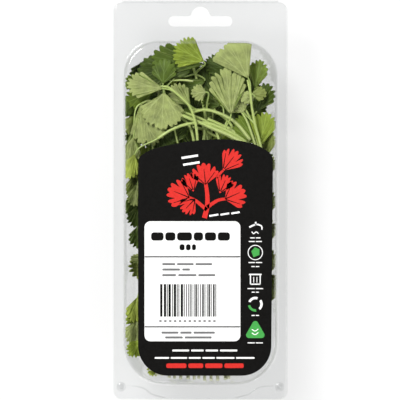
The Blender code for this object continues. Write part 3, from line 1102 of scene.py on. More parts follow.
@dataclass
class Bunch:
    """The herbs: leaves and stems of the frame in full detail, and the small stuff between them."""

    space: PackSpace
    palette: Palette
    seed: int = 7
    petiole_radius: float = 0.42 * MM
    petiole_shortest: float = 1.2 * MM
    petiole_longest: float = 26.0 * MM
    petiole_steps: int = 6
    bed_rows: int = 14
    stem_steps: int = 14
    foot_steps: int = 6
    fill_leaves: int = 56
    fill_stems: int = 16
    foot_stems: int = 15
    bed_width: int = 5
    # the dark tone paints shade and the bright tone paints light on the leaves that take them
    styles: dict[str, LeafStyle] = field(default_factory=lambda: {
        "leaf_centre": LeafStyle(PALE, True, 11, 0.095, 0.10, fall=0.38),
        "leaf_left_fold": LeafStyle(PALE, True, 9, 0.085, 0.08, fall=0.34),
        "leaf_top_right": LeafStyle(PALE, True, 9, 0.05, 0.05, widen=0.70, stretch=1.22, fall=0.0, turn=-1),
        "leaf_left_broad": LeafStyle(PALE, True, 13, 0.085, 0.06, fall=0.32, widen=1.05),
        "leaf_left_long": LeafStyle(PALE, True, 11, 0.085, 0.09, widen=1.1, fall=0.34, turn=8),
        "leaf_stem_side": LeafStyle(PALE, True, 7, widen=1.1, stretch=1.2),
        "leaf_right_low": LeafStyle(BRIGHT, False, 9, 0.09, 0.06, widen=1.05, fall=0.30, stretch=1.08),
        "leaf_right_inner": LeafStyle(OLIVE, False, 9, 0.09, 0.05, widen=1.1, fall=0.32, stretch=1.1),
        "leaf_small_left": LeafStyle(PALE, True, 9, 0.15, 0.08, widen=1.2),
        "leaf_small_right": LeafStyle(PALE, True, 9, 0.15, 0.08, widen=1.15, stretch=1.2),
        "leaf_grey": LeafStyle(MID, False, 9, 0.12, 0.08, widen=1.1, stretch=1.3),
        "leaf_dark_small": LeafStyle(DARK, False, 9, 0.12, 0.08, stretch=1.2),
        # leaf_top_bright and leaf_top_dark are the two halves of one folded leaf: painted light on the upper
        # half, painted shade on the lower half
        "leaf_top_bright": LeafStyle(BRIGHT, False, 11, 0.12, 0.07, widen=1.15, fall=0.24, turn=6,
                                     stretch=1.12, over_rim=True),
        "leaf_top_dark": LeafStyle(MID, False, 7, 0.07, 0.04, widen=1.05, fall=0.3),
        "leaf_left_dark": LeafStyle(DARK, False, 9, 0.10, 0.07, widen=1.1, fall=0.34),
        "leaf_left_behind": LeafStyle(OLIVE, False, 9, 0.12, 0.08, widen=1.15, stretch=1.25),
        "leaf_right_olive": LeafStyle(OLIVE, False, 9, 0.10, 0.06, widen=1.1, stretch=1.15),
        "leaf_right_dark": LeafStyle(DARK, False, 9, 0.13, 0.08, widen=1.15, stretch=1.15),
        "leaf_under_centre": LeafStyle(DARK, False, 9, widen=1.1, stretch=1.2),
        "leaf_under_arc": LeafStyle(DARK, False, 9, widen=1.1),
        "leaf_side_pale": LeafStyle(PALE, True, 9, widen=1.15),
        "leaf_side_bright": LeafStyle(BRIGHT, True, 9, widen=1.1),
        "leaf_side_soft": LeafStyle(PALE, True, 9, widen=1.1),
        "leaf_side_dark": LeafStyle(DARK, False, 9, widen=1.1),
        "leaf_side_small": LeafStyle(PALE, True, 7),
        "leaf_side_long": LeafStyle(BRIGHT, False, 11, widen=1.15),
        "leaf_side_last": LeafStyle(BRIGHT, True, 9, widen=1.1),
    })
    extras: tuple[tuple, ...] = (  # x, y, heading, length, spread, share, then the style
        # the dark tone paints shade on leaves low in the pile, the bright tone paints light on leaves near
        # the lid
        (-9.0, 62.0, 168, 15.0, 44, 0.66, MID, False),
        (14.5, 64.0, 150, 13.0, 46, 0.70, DARK, False, 11),
        (2.0, 60.0, 205, 12.0, 40, 0.60, MID, False),
        (6.0, 58.5, 110, 12.0, 46, 0.48, DARK, False),
        (20.0, 52.0, 45, 13.0, 46, 0.48, DARK, False),
        (21.0, 44.0, 12, 12.0, 46, 0.46, MID, False),
        (-28.0, 70.0, 250, 12.0, 44, 0.50, DARK, False),
        (-26.0, 46.0, 190, 12.0, 48, 0.50, DARK, False),
        (-27.0, 34.0, 200, 11.0, 48, 0.46, MID, False),
        (-30.0, -12.0, 262, 12.0, 44, 0.80, DARK, False),
        (-19.0, 50.5, 178, 10.0, 52, 0.40, DARK, False),
        (-28.0, 60.5, 200, 10.0, 50, 0.72, OLIVE, False),
        (-30.0, 51.0, 215, 11.0, 50, 0.70, MID, False),
        (-31.0, 43.0, 245, 11.0, 50, 0.72, OLIVE, True),
        (27.0, 51.6, 185, 7.0, 54, 0.94, PALE, True, 7),
        (25.4, 52.6, 8, 7.5, 54, 0.94, OLIVE, True, 7),
        (10.0, 47.6, 168, 9.0, 42, 0.72, MID, False),
        (-15.0, 28.5, 60, 12.0, 46, 0.70, DARK, False),
        (-33.6, 31.0, 258, 13.0, 44, 0.84, PALE, True),
        (-33.0, 22.5, 250, 12.0, 46, 0.90, BRIGHT, True),
        (-32.0, 13.0, 262, 12.0, 44, 0.70, OLIVE, True),
        (-32.0, 3.0, 250, 11.0, 44, 0.64, MID, False),
        (-31.5, -49.0, 262, 12.0, 44, 0.84, BRIGHT, True),
        (-31.0, -60.0, 250, 12.0, 44, 0.80, PALE, True),
        (-29.0, -70.0, 230, 10.0, 46, 0.80, BRIGHT, False),
        (-20.0, -80.0, 235, 9.0, 44, 0.74, BRIGHT, True),
        (33.0, 22.0, 92, 13.0, 44, 0.74, OLIVE, True),
        (33.4, 12.0, 80, 10.0, 44, 0.72, PALE, True),
        (33.5, -8.0, 84, 12.0, 44, 0.76, OLIVE, True),
        (33.2, -22.0, 86, 12.0, 44, 0.70, PALE, True),
        (33.0, -38.0, 84, 13.0, 44, 0.72, PALE, True),
        (31.5, -54.0, 80, 13.0, 44, 0.66, PALE, True),
        (27.0, -70.0, 66, 12.0, 44, 0.62, PALE, True),
    )
    extra_stems: tuple[tuple, ...] = (  # route, radius, share
        (((-12.2, 43.5), (-3.2, 40.0), (5.8, 36.0), (13.8, 32.5), (24.0, 27.0)), 1.05, 0.90),
        (((-4.2, 43.6), (2.0, 45.2), (9.8, 43.3), (17.8, 38.6), (25.0, 30.0)), 0.85, 0.84),
        (((3.6, 40.6), (11.0, 37.2), (18.0, 33.4), (25.0, 26.0)), 1.10, 0.78),
        (((16.0, 48.8), (20.0, 45.0), (24.0, 38.0), (28.0, 26.0)), 0.60, 0.86),
        (((18.0, 50.0), (22.4, 45.6), (26.0, 38.0), (29.5, 26.0)), 0.55, 0.84),
        (((-15.4, 59.8), (-9.0, 60.1), (-3.6, 59.6)), 0.55, 0.76),
    )

    def build(self) -> None:
        """Build every leaf and stem of the bunch."""
        rng = random.Random(self.seed)
        seats = self.build_stems(rng)
        for number, (route, radius, share) in enumerate(self.extra_stems):
            radii = [radius * (0.8 + 0.2 * i / (len(route) - 1)) for i in range(len(route))]
            self.lay_stem(f"stem_extra_{number + 1}", route, radii, share, self.palette.stem)
        for number, node in enumerate(sorted(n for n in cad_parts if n.startswith("leaf_"))):
            self.build_leaf(node, number, seats)
        for number, row in enumerate(self.extras):
            extra = ExtraLeaf(*row[:6], LeafStyle(*row[6:]))
            self.build_extra(f"leaf_extra_{number + 1:02d}", extra, number + 100, seats)
        self.build_fill(rng, seats)

    def build_stems(self, rng: random.Random) -> list[StemSeat]:
        """Build the frame's stems in detail.

        Args:
            rng: source of small differences.

        Returns:
            The stems' middle lines.
        """
        seats = []
        for node in sorted(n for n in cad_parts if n.startswith("stem_")):
            seat = StemSeat.from_node(node)
            seats.append(seat)
            stalk = Stalk(node + "_ribbed", seat.points, seat.radii, self.palette.stem, self.palette.cut)
            stalk.ribs = rng.choice((5, 6))
            fit(stalk.build(), "tray", "stem_green", node)
        return seats

    def build_leaf(self, node: str, number: int, stems: list[StemSeat]) -> None:
        """Build one of the frame's leaves with its stalk.

        Args:
            node: the plain blade's name.
            number: its number, for its own random shape.
            stems: the stems it may hang on.
        """
        default = LeafStyle(MID if number % 2 else DARK, number % 3 == 0)
        seat = LeafSeat.from_node(node)
        leaflet = Leaflet(node + "_lobed", seat, self.styles.get(node, default), number)
        slot = "leaf_green" if "dark" in node or "deep" in node else "leaf_pale"
        fit(leaflet.build(self.space, self.palette), "tray", slot, node)
        self.build_petiole(node.replace("leaf_", "petiole_"), seat, stems)

    def build_extra(self, name: str, extra: ExtraLeaf, seed: int, stems: list[StemSeat]) -> None:
        """Build a leaf that the frame has no blade for.

        Args:
            name: the piece's name.
            extra: its place and style.
            seed: for its own random shape.
            stems: the stems it may hang on.
        """
        seat = extra.seat(self.space)
        piece = Leaflet(name, seat, extra.style, seed, 12, 60).build(self.space, self.palette)
        fit(piece, "tray", "leaf_pale" if extra.style.under_up else "leaf_green")
        self.build_petiole(name.replace("leaf_", "petiole_"), seat, stems)

    def lay_stem(self, name: str, route: Sequence[Point], radii: Sequence[float], share: float,
                 finish: Material) -> None:
        """Lay a stem that the frame has no solid for on a layer of the pile.

        Args:
            name: the piece's name.
            route: what its middle line passes, in millimetres.
            radii: its radius at each of those points, in millimetres.
            share: its layer, as PackSpace.height takes it.
            finish: its finish.
        """
        line = []
        for x, y in ((x * MM, y * MM) for x, y in route):
            line.append((x, y, float(self.space.height(share, np.array(x), np.array(y)))))
        stalk = Stalk(name, line, [radius * MM for radius in radii], finish, self.palette.cut)
        fit(stalk.build(), "tray", "stem_green")

    def build_petiole(self, name: str, seat: LeafSeat, stems: list[StemSeat]) -> None:
        """Join a leaf to the nearest stem with a thin bent stalk.

        Args:
            name: the piece's name.
            seat: the leaf's seat.
            stems: the stems it may hang on.
        """
        height = float(seat.surface(np.array([seat.x]), np.array([seat.y]))[0])
        base = Vector((seat.x, seat.y, height - 0.1 * MM))
        back = Vector((-math.cos(seat.heading), -math.sin(seat.heading), 0))
        aim = base + back * 7 * MM
        candidates = [(Vector(p), i, stem) for stem in stems for i, p in enumerate(stem.points)]
        foot, index, stem = min(candidates, key=lambda c: (c[0] - aim).length)
        run = (foot - base).length
        if not self.petiole_shortest <= run <= self.petiole_longest:
            return
        following = Vector(stem.points[min(index + 1, len(stem.points) - 1)])
        towards = (following - foot).normalized() if (following - foot).length else back
        first = base + back * run * 0.4
        second = foot - towards * run * 0.35
        points, radii = [], []
        for t in (step / self.petiole_steps for step in range(self.petiole_steps + 1)):
            spot = (base * (1 - t) ** 3 + first * 3 * t * (1 - t) ** 2
                    + second * 3 * t * t * (1 - t) + foot * t**3)
            points.append(tuple(spot))
            radii.append(self.petiole_radius * (0.8 + 0.35 * t))
        stalk = Stalk(name, points, radii, self.palette.petiole, sides=8, pieces=3, ribs=3)
        fit(stalk.build(), "tray", "stem_green")

    def build_fill(self, rng: random.Random, stems: list[StemSeat]) -> None:
        """Fill the depth of the pack with lower leaves and stems.

        Args:
            rng: source of their places.
            stems: the stems they may hang on.
        """
        tones = [MID, DARK, OLIVE, BRIGHT, PALE]
        for number in range(self.fill_leaves):
            share = rng.choice((0.10, 0.20, 0.34, 0.45, 0.55, 0.62))
            reach = 26.0 + 4.0 * share
            x = rng.uniform(-reach, reach)
            y = rng.uniform(-76, 56) if rng.random() < 0.55 else rng.uniform(20, 58)
            style = LeafStyle(rng.choice(tones[:4] if share > 0.5 else tones), rng.random() < 0.4,
                              rng.choice((7, 9)), rng.uniform(0.10, 0.15), rng.uniform(0.05, 0.1))
            extra = ExtraLeaf(x, y, rng.uniform(40, 140) - 60 * x / reach, rng.uniform(10, 17),
                              rng.uniform(32, 48), share, style)
            self.build_extra(f"leaf_fill_{number + 1:02d}", extra, number + 300, stems)
        for number in range(self.fill_stems):
            share = rng.choice((0.15, 0.27, 0.50, 0.58, 0.66, 0.74))
            top, bottom = rng.uniform(-24, 24), rng.uniform(-16, 18)
            y_top = rng.uniform(20, 60)
            route = []
            for t in (i / self.stem_steps for i in range(self.stem_steps + 1)):
                x = top * (1 - t) + bottom * t + 6 * math.sin(2.4 * t + number)
                route.append((x, y_top * (1 - t) - 83 * t))
            radius = rng.uniform(0.6, 0.9)
            radii = [radius * (0.7 + 0.3 * i / self.stem_steps) for i in range(self.stem_steps + 1)]
            self.lay_stem(f"stem_fill_{number + 1:02d}", route, radii, share, self.palette.stem)
        self.build_bed(rng)
        self.build_foot(rng)

    def build_bed(self, rng: random.Random) -> None:
        """Line the tray's floor with leaves, a row to a piece.

        Args:
            rng: source of their places.
        """
        for row in range(self.bed_rows):
            leaves = []
            for place in range(self.bed_width):
                step = (place + 0.5 * (row % 2)) / (self.bed_width - 0.5)
                x = -26.0 + 48.0 * step + rng.uniform(-2, 2)
                y = -80.0 + 134.0 * row / (self.bed_rows - 1) + rng.uniform(-3, 3)
                share = rng.uniform(0.04, 0.30)
                sizes = rng.uniform(20, 160) + 1.2 * x, rng.uniform(12, 16), rng.uniform(44, 56)
                # the dark tone among these paints shade on the floor of the pile
                tone = rng.choice((DARK, MID, OLIVE))
                style = LeafStyle(tone, rng.random() < 0.3, 9, 0.12, 0.07, fall=0.34)
                seat = ExtraLeaf(x, y, *sizes, share, style).seat(self.space)
                name, seed = f"leaf_bed_{row + 1:02d}_{place + 1}", 700 + 10 * row + place
                leaves.append(Leaflet(name, seat, style, seed, 10, 54).build(self.space, self.palette))
            fit(joined(f"leaf_bed_{row + 1:02d}", leaves), "tray", "leaf_green")

    def build_foot(self, rng: random.Random) -> None:
        """Lay cut stem ends against the foot of the tray.

        Args:
            rng: source of their places.
        """
        for number in range(self.foot_stems):
            share = rng.uniform(0.84, 0.96)
            foot_x = -25.0 + 46.0 * number / self.foot_stems + rng.uniform(-0.8, 0.8)
            foot_y = -90.5 + 5.5 * abs(foot_x / 27) ** 3 + rng.uniform(0, 1.2)
            top_y = rng.uniform(-70, -28)
            route = []
            for t in (i / self.foot_steps for i in range(self.foot_steps + 1)):
                route.append((foot_x * (0.74 + 0.26 * t), top_y * (1 - t) + foot_y * t))
            radii = [rng.uniform(0.65, 1.0)] * len(route)
            self.lay_stem(f"stem_foot_{number + 1:02d}", route, radii, share, self.palette.foot)


# ---------------------------------------------------------------- the clear pack


@dataclass
class ClearPack:
    """The thermoformed tray and lid, with their ribs, hanger slot, snaps and lift crease."""

    space: PackSpace
    palette: Palette
    sheet: float = 0.4 * MM
    half_width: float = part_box("tray")[1].x
    half_length: float = -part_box("tray")[0].y
    top_y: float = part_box("tray")[1].y
    corner: float = 4.5 * MM
    least_corner: float = 1.2 * MM
    sharp_angle: float = 48.0
    slot_half: float = 16.0 * MM
    slot_low: float = 86.75 * MM
    slot_high: float = 92.0 * MM
    peak_radius: float = 4.7 * MM
    fillet: float = 1.6 * MM
    snap_x: float = 39.6 * MM
    snap_y: float = -93.4 * MM
    snap_sides: int = 28
    lid_rise: float = 0.8 * MM
    web_half: float = 39.0 * MM
    web_sheet: float = 0.35 * MM

    def edge(self, inset: float, top_inset: float = 0.0) -> list[Point]:
        """The outer edge of a flange with as many points as the mouth's outline.

        Args:
            inset: how far it is moved inwards.
            top_inset: how far its hinge side is moved inwards.

        Returns:
            The outline's points, anticlockwise.
        """
        half, low, high = self.half_width - inset, -self.half_length + inset, self.top_y - top_inset
        corner = max(self.corner - inset, self.least_corner)
        return rounded_box((-half, low), (half, high), corner, CORNER_STEPS, splits=FOOT_POINTS)

    def shell(self, name: str, rings: Sequence[tuple[list[Point], float]], body: str, node: str) -> None:
        """A sheet through rings, cut by the hanger slot.

        Args:
            name: the piece's name.
            rings: outlines with their heights, from the outer edge inwards.
            body: the body it rides on.
            node: the frame node it stands for.
        """
        vertices = [(x, y, z) for outline, z in rings for x, y in outline]
        count = len(rings[0][0])
        faces = tube_faces(len(rings), count) + end_faces(len(rings), count)[1:]
        piece = new_object(name, vertices, faces, [self.palette.clear])
        if piece.data.polygons[-1].normal.z < 0:
            piece.data.flip_normals()
        solid = piece.modifiers.new("sheet", "SOLIDIFY")
        solid.thickness = self.sheet
        solid.offset = -1.0
        solid.use_even_offset = True
        low, high = self.space.flange - 3 * MM, self.space.flange + 4 * MM
        cutter = prism("slot_cutter", self.slot_outline(), low, high, self.palette.clear)
        cut = piece.modifiers.new("slot", "BOOLEAN")
        cut.operation, cut.solver, cut.object = "DIFFERENCE", "EXACT", cutter
        bake_modifiers(piece)
        bpy.data.objects.remove(cutter, do_unlink=True)
        piece.data.shade_smooth()
        piece.data.set_sharp_from_angle(angle=math.radians(self.sharp_angle))
        fit(piece, body, "clear_sheet", node)

    def slot_outline(self) -> list[Point]:
        """The hanger slot's outline.

        Returns:
            Its points, anticlockwise.
        """
        end, middle = (self.slot_high - self.slot_low) / 2, (self.slot_high + self.slot_low) / 2
        reach = self.peak_radius + self.fillet
        fillet_x = math.sqrt(reach**2 - self.fillet**2)
        tangent = math.degrees(math.asin(self.fillet / reach))
        outline = arc(self.slot_half - end, middle, end, -90, 90, 12)
        outline += arc(fillet_x, self.slot_high + self.fillet, self.fillet, 270, 180 + tangent, 5)
        outline += arc(0, self.slot_high, self.peak_radius, tangent, 180 - tangent, 18)[1:-1]
        outline += arc(-fillet_x, self.slot_high + self.fillet, self.fillet, -tangent, -90, 5)
        outline += arc(-self.slot_half + end, middle, end, 90, 270, 12)
        return outline

    def build(self) -> None:
        """Build the tray, the lid and their small features."""
        flange, mouth = self.space.flange, self.space.mouth
        top = flange + self.lid_rise
        tray = [(self.edge(inset * MM), flange + z * MM) for inset, z in (
            (0.0, -1.5), (0.12, -0.4), (0.45, 0.0))]
        tray += [(mouth(inset * MM), flange + z * MM) for inset, z in (
            (-1.1, 0.0), (-0.3, -0.05), (0.15, -0.4), (0.5, -1.2), (2.75, -12.0))]
        tray += [(mouth(inset * MM), z * MM) for inset, z in (
            (5.0, 5.5), (5.5, 3.7), (6.3, 2.2), (7.5, 1.1), (9.0, 0.5), (11.6, 0.5), (12.0, 0.75),
            (12.4, 1.1))]
        self.shell("tray_sheet", tray, "tray", "tray")
        lid = [(self.edge(inset * MM, hinge * MM), top + z * MM) for inset, hinge, z in (
            (0.75, 0.0, -0.1), (0.95, 0.0, 0.0), (2.0, 1.6, 0.0), (2.35, 1.95, 0.12), (2.75, 2.35, 0.12),
            (3.1, 2.7, 0.0))]
        lid += [(mouth(inset * MM), top + z * MM) for inset, z in (
            (-1.0, 0.0), (-0.5, 0.15), (-0.1, 0.8), (0.45, 1.8), (1.0, 2.3), (1.7, 2.5))]
        self.shell("lid_sheet", lid, "lid", "lid")
        self.build_snaps(top)
        self.build_crease(top)
        redress("hinge_fold", self.palette.clear)
        half = self.web_half
        bridge = rounded_box((-half, self.top_y - 0.2 * MM), (half, self.top_y + 0.45 * MM), 0.2 * MM)
        for body, low in (("tray", flange - 0.45 * MM), ("lid", flange + 0.4 * MM)):
            web = prism(f"hinge_web_{body}", bridge, low, low + self.web_sheet, self.palette.clear)
            fit(web, body, "clear_sheet")

    def build_snaps(self, top: float) -> None:
        """Build the two domed snap buttons and the studs inside them.

        Args:
            top: height of the lid's flange.
        """
        kinds = (
            ("lid", "button", top, ((2.3, 0.0), (2.2, 0.35), (1.95, 0.62), (1.4, 0.80), (0.7, 0.86))),
            ("tray", "stud", self.space.flange, ((1.3, 0.0), (1.25, 0.8), (1.0, 1.05), (0.5, 1.15))),
        )
        for side, x in (("left", -self.snap_x), ("right", self.snap_x)):
            for body, kind, base, profile in kinds:
                piece = self.turned(f"snap_{kind}_{side}", x, base - 0.05 * MM, profile)
                fit(piece, body, "clear_sheet")

    def turned(self, name: str, x: float, base: float, profile: Sequence[Point]) -> Piece:
        """A small turned button.

        Args:
            name: the piece's name.
            x: its centre's X.
            base: height of its foot.
            profile: radii and heights in millimetres, from its foot up.

        Returns:
            The new button.
        """
        sides = self.snap_sides
        turns = [2 * math.pi * k / sides for k in range(sides)]
        points = [
            (x + r * MM * math.cos(turn), self.snap_y + r * MM * math.sin(turn), base + h * MM)
            for r, h in profile
            for turn in turns
        ]
        faces = tube_faces(len(profile), sides) + end_faces(len(profile), sides)
        return new_object(name, points, faces, [self.palette.clear])

    def build_crease(self, top: float) -> None:
        """Build the raised S-shaped creases of the lift lip at the lid's foot.

        Args:
            top: height of the lid's flange.
        """
        route = ((-36.7, -93.0), (-31.0, -93.3), (-27.5, -94.6), (-24.5, -97.0), (-19.5, -98.4),
                 (-17.5, -98.6))
        for side, sign in (("left", 1), ("right", -1)):
            line = [(sign * x * MM, y * MM, top) for x, y in route]
            radii = [0.18 * MM] + [0.32 * MM] * (len(line) - 2) + [0.15 * MM]
            crease = Stalk(f"lift_crease_{side}", line, radii, self.palette.clear, None, 8, 5, 1, 0.0)
            fit(crease.build(), "lid", "clear_sheet")


# ---------------------------------------------------------------- labels and print


@dataclass
class FrontLabel:
    """The black front label with its printed panel, rules, bars and plain emblems."""

    palette: Palette
    low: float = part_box("front_label")[0].z
    high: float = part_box("front_label")[1].z
    left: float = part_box("front_label")[0].x
    right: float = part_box("front_label")[1].x
    foot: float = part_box("front_label")[0].y
    arch_top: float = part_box("front_label")[1].y
    arch_height: float = 30.3 * MM
    foot_corner: float = 15.0 * MM
    ink: float = 0.03 * MM
    ink_sink: float = 0.02 * MM
    bar_seed: int = 11
    layers: dict[tuple[str, int], list[Piece]] = field(default_factory=dict)

    def outline(self) -> list[Point]:
        """The label's outline.

        Returns:
            Its points, anticlockwise.
        """
        arch = ((36.2, 17.0), (36.0, 20.6), (35.0, 22.9), (32.7, 25.0), (26.3, 28.0), (16.8, 30.0),
                (7.2, 30.3), (-5.5, 29.3), (-18.3, 26.9), (-25.2, 24.8), (-29.4, 22.4), (-30.7, 20.4),
                (-31.1, 17.0))
        shift = self.arch_top - self.arch_height
        outline = [(x, y + shift) for x, y in smooth_path([(x * MM, y * MM) for x, y in arch], 5)]
        corner, right = self.foot_corner, self.right - 0.8 * MM
        outline += arc(self.left + corner, self.foot + corner, corner, 180, 270, 18)
        return outline + arc(right - corner, self.foot + corner, corner, 270, 360, 18)

    def print_shape(self, ink: str, outline: Sequence[Point], layer: int = 0) -> None:
        """Lay a shape of ink on the label.

        Args:
            ink: the palette's name of the ink.
            outline: the shape in millimetres, anticlockwise.
            layer: 0 on the stock, 1 on other ink.
        """
        low = self.high - self.ink_sink + layer * self.ink
        shape = prism("ink", [(x * MM, y * MM) for x, y in outline], low, low + self.ink + self.ink_sink,
                      getattr(self.palette, ink))
        self.layers.setdefault((ink, layer), []).append(shape)

    def bar(self, ink: str, x0: float, x1: float, y: float, width: float, layer: int = 0) -> None:
        """Lay a straight bar with slightly round ends, in millimetres.

        Args:
            ink: the palette's name of the ink.
            x0: its left end.
            x1: its right end.
            y: its middle.
            width: how thick it is.
            layer: 0 on the stock, 1 on other ink.
        """
        self.print_shape(ink, rounded_box((x0, y - width / 2), (x1, y + width / 2), width * 0.3, 2), layer)

    def ring(self, ink: str, x: float, y: float, outer: float, inner: float, layer: int = 0) -> None:
        """Lay a ring, in millimetres.

        Args:
            ink: the palette's name of the ink.
            x: its centre's X.
            y: its centre's Y.
            outer: its outer radius.
            inner: its inner radius.
            layer: 0 on the stock, 1 on other ink.
        """
        parts = 4
        for part in range(parts):
            start, end = 360 * part / parts, 360 * (part + 1) / parts
            shape = arc(x, y, outer, start, end, 8) + arc(x, y, inner, end, start, 8)
            self.print_shape(ink, shape, layer)

    def stroke(self, ink: str, points: Sequence[Point], width: float, end_width: float | None = None,
               layer: int = 0) -> None:
        """Lay a curved stroke, in millimetres.

        Args:
            ink: the palette's name of the ink.
            points: what its middle line passes.
            width: its width at the start.
            end_width: its width at the end, the same if left out.
            layer: 0 on the stock, 1 on other ink.
        """
        line = smooth_path(points, 6)
        last = width if end_width is None else end_width
        left, right = [], []
        for i, (x, y) in enumerate(line):
            ahead, behind = line[min(i + 1, len(line) - 1)], line[max(i - 1, 0)]
            dx, dy = ahead[0] - behind[0], ahead[1] - behind[1]
            size = math.hypot(dx, dy) or 1.0
            half = (width + (last - width) * i / (len(line) - 1)) / 2
            left.append((x - dy / size * half, y + dx / size * half))
            right.append((x + dy / size * half, y - dx / size * half))
        self.print_shape(ink, right + left[::-1], layer)

    def fan_leaf(self, x: float, y: float, heading: float, length: float, spread: float) -> None:
        """Lay a red fan-shaped leaf with black veins, in millimetres and degrees.

        Args:
            x: its base's X.
            y: its base's Y.
            heading: where it points.
            length: its length.
            spread: half its spread.
        """
        outline = [(x, y)]
        steps = 60
        for i in range(steps + 1):
            across = -1 + 2 * i / steps
            turn = math.radians(heading + spread * across)
            teeth = 1 - 0.15 * (1 - abs(math.cos(math.pi * 7 * across / 2)) ** 0.8)
            gap = math.exp(-(((abs(across) - 3 / 7) / 0.06) ** 2))
            reach = length * (1 - 0.22 * abs(across) ** 2) * teeth * (1 - 0.26 * gap)
            outline.append((x + reach * math.cos(turn), y + reach * math.sin(turn)))
        self.print_shape("red", outline)
        for across in (-0.72, 0.0, 0.72):
            turn = math.radians(heading + spread * across)
            tip = (x + 0.72 * length * math.cos(turn), y + 0.72 * length * math.sin(turn))
            root = (x + 0.1 * length * math.cos(turn), y + 0.1 * length * math.sin(turn))
            middle = ((tip[0] + root[0]) / 2, (tip[1] + root[1]) / 2)
            self.stroke("black", [root, middle, tip], 0.55, 0.2, 1)

    def build_panel(self) -> None:
        """Print the white panel with its rules and its made-up bar pattern."""
        self.print_shape("white", rounded_box((-27.9, -70.5), (19.95, -10.6), 3.0, 8))
        for y in (-28.35, -63.3):
            self.bar("black", -27.8, 19.85, y, 0.6, 1)
        x = -24.6
        for width in (6.2, 5.0, 7.4, 4.6, 5.6, 6.0):
            self.bar("black", x, x + width, -18.2, 4.1, 1)
            x += width + 0.9
        for x0, x1 in ((-10.4, -7.9), (-7.2, -4.9), (-4.2, -2.2)):
            self.bar("black", x0, x1, -23.6, 3.0, 1)
        for y, spans in ((-32.0, ((-19.0, -12.6), (-11.6, -3.4), (-2.4, 5.8))),
                         (-34.7, ((-19.0, -10.2), (-9.0, -5.2))),
                         (-37.5, ((-19.0, -12.2), (-11.0, -2.0), (-1.0, 7.4))),
                         (-66.2, ((-19.4, -11.0), (-10.0, -4.4), (-3.4, 7.2))),
                         (-68.6, ((-17.6, -8.8), (-7.8, 5.6)))):
            for x0, x1 in spans:
                self.bar("grey", x0, x1, y, 1.05, 1)
        rng = random.Random(self.bar_seed)
        x = -20.1
        while x < 8.0:
            width = rng.choice((0.42, 0.42, 0.8, 1.15))
            self.print_shape("black", [(x, -58.2), (x + width, -58.2), (x + width, -42.0), (x, -42.0)], 1)
            x += width + rng.choice((0.38, 0.38, 0.7))
        for i in range(12):
            x = -20.6 + 2.45 * i
            self.bar("grey", x, x + 1.3, -60.4, 0.9, 1)

    def build_emblem(self) -> None:
        """Print the red sprig over the panel, with its leaves, stalks and dashes."""
        self.stroke("red", [(2.0, -9.0), (3.4, -3.0), (3.4, 3.0), (2.6, 8.4)], 2.6, 1.7)
        self.stroke("red", [(3.2, -5.0), (-2.0, -0.6), (-6.4, 1.6)], 1.9, 1.3)
        self.stroke("red", [(3.4, -3.6), (8.6, -0.2), (13.2, 0.6)], 1.9, 1.3)
        for leaf in ((2.6, 7.6, 96, 11.0, 58), (-5.4, 1.2, 158, 11.8, 56), (12.2, 0.4, 24, 11.2, 58),
                     (-2.6, 0.6, 226, 9.2, 46), (-3.4, 4.2, 108, 9.6, 40), (9.6, 3.4, 66, 9.8, 40),
                     (11.2, 14.6, 52, 12.4, 40)):
            self.fan_leaf(*leaf)
        self.stroke("red", [(8.2, 11.0), (9.6, 13.0), (11.4, 14.8)], 1.5, 1.0)
        for x0, x1, y, width in ((-9.4, -1.2, 21.6, 1.1), (-8.6, -0.4, 18.2, 1.1), (4.4, 9.0, -7.6, 0.9),
                                 (10.0, 14.4, -7.0, 0.9), (15.4, 19.6, -6.4, 0.9)):
            slope = (x1 - x0) * 0.16
            self.stroke("white", [(x0, y - slope / 2), ((x0 + x1) / 2, y), (x1, y + slope / 2)], width)

    def build_icons(self) -> None:
        """Print the column of plain emblems beside the panel."""
        x = 27.4
        for width, end_width, points in (
            (0.9, 0.6, ((-3.0, -13.6), (0.4, -12.2), (3.0, -13.0), (3.3, -14.8))),
            (0.8, 0.8, ((0.2, -10.9), (0.2, -12.6))),
            (0.5, 0.5, ((-1.8, -15.8), (-0.8, -16.8), (0.4, -15.9), (1.6, -16.8))),
        ):
            self.stroke("white", [(x + dx, y) for dx, y in points], width, end_width)
        self.ring("white", x, -26.2, 3.8, 3.4)
        land = ((-0.9, -28.6), (2.0, -27.4), (2.1, -24.6), (-0.2, -23.6), (-2.0, -25.6))
        self.print_shape("green", [(x + dx, y) for dx, y in land])
        for x0, x1, y0, y1, corner in (
            (-2.6, 2.6, -42.3, -41.7, 0.25), (-2.7, -2.15, -42.2, -37.4, 0.2), (2.15, 2.7, -42.2, -37.4, 0.2),
            (-3.2, 3.2, -37.5, -36.8, 0.25), (-1.0, -0.6, -41.2, -38.4, 0.15), (0.6, 1.0, -41.2, -38.4, 0.15),
        ):
            self.print_shape("white", rounded_box((x + x0, y0), (x + x1, y1), corner, 2))
        for start, ink in ((70, "white"), (190, "green"), (310, "white")):
            arcs = arc(x, -52.0, 3.7, start, start + 88, 8) + arc(x, -52.0, 2.5, start + 88, start, 8)
            self.print_shape(ink, arcs)
        rounded = []
        for cx, cy, start in ((x - 3.1, -67.4, 150), (x + 3.1, -67.4, 270), (x, -61.9, 30)):
            rounded += arc(cx, cy, 1.5, start, start + 120, 8)
        self.print_shape("green", rounded)
        for dx, dy in ((-0.1, -67.2), (-0.1, -65.4)):
            chevron = [(x + dx - 1.6, dy + 0.9), (x + dx, dy), (x + dx + 1.6, dy + 1.1)]
            self.stroke("white", chevron, 0.5, 0.4, 1)
        for y, half in ((-18.9, 2.6), (-20.7, 3.3), (-31.2, 3.4), (-33.2, 2.0), (-44.2, 3.9), (-46.0, 1.8),
                        (-57.6, 1.9), (-71.3, 3.8)):
            self.bar("white", x - half, x - 0.25, y, 0.5)
            self.bar("white", x + 0.25, x + half, y, 0.5)

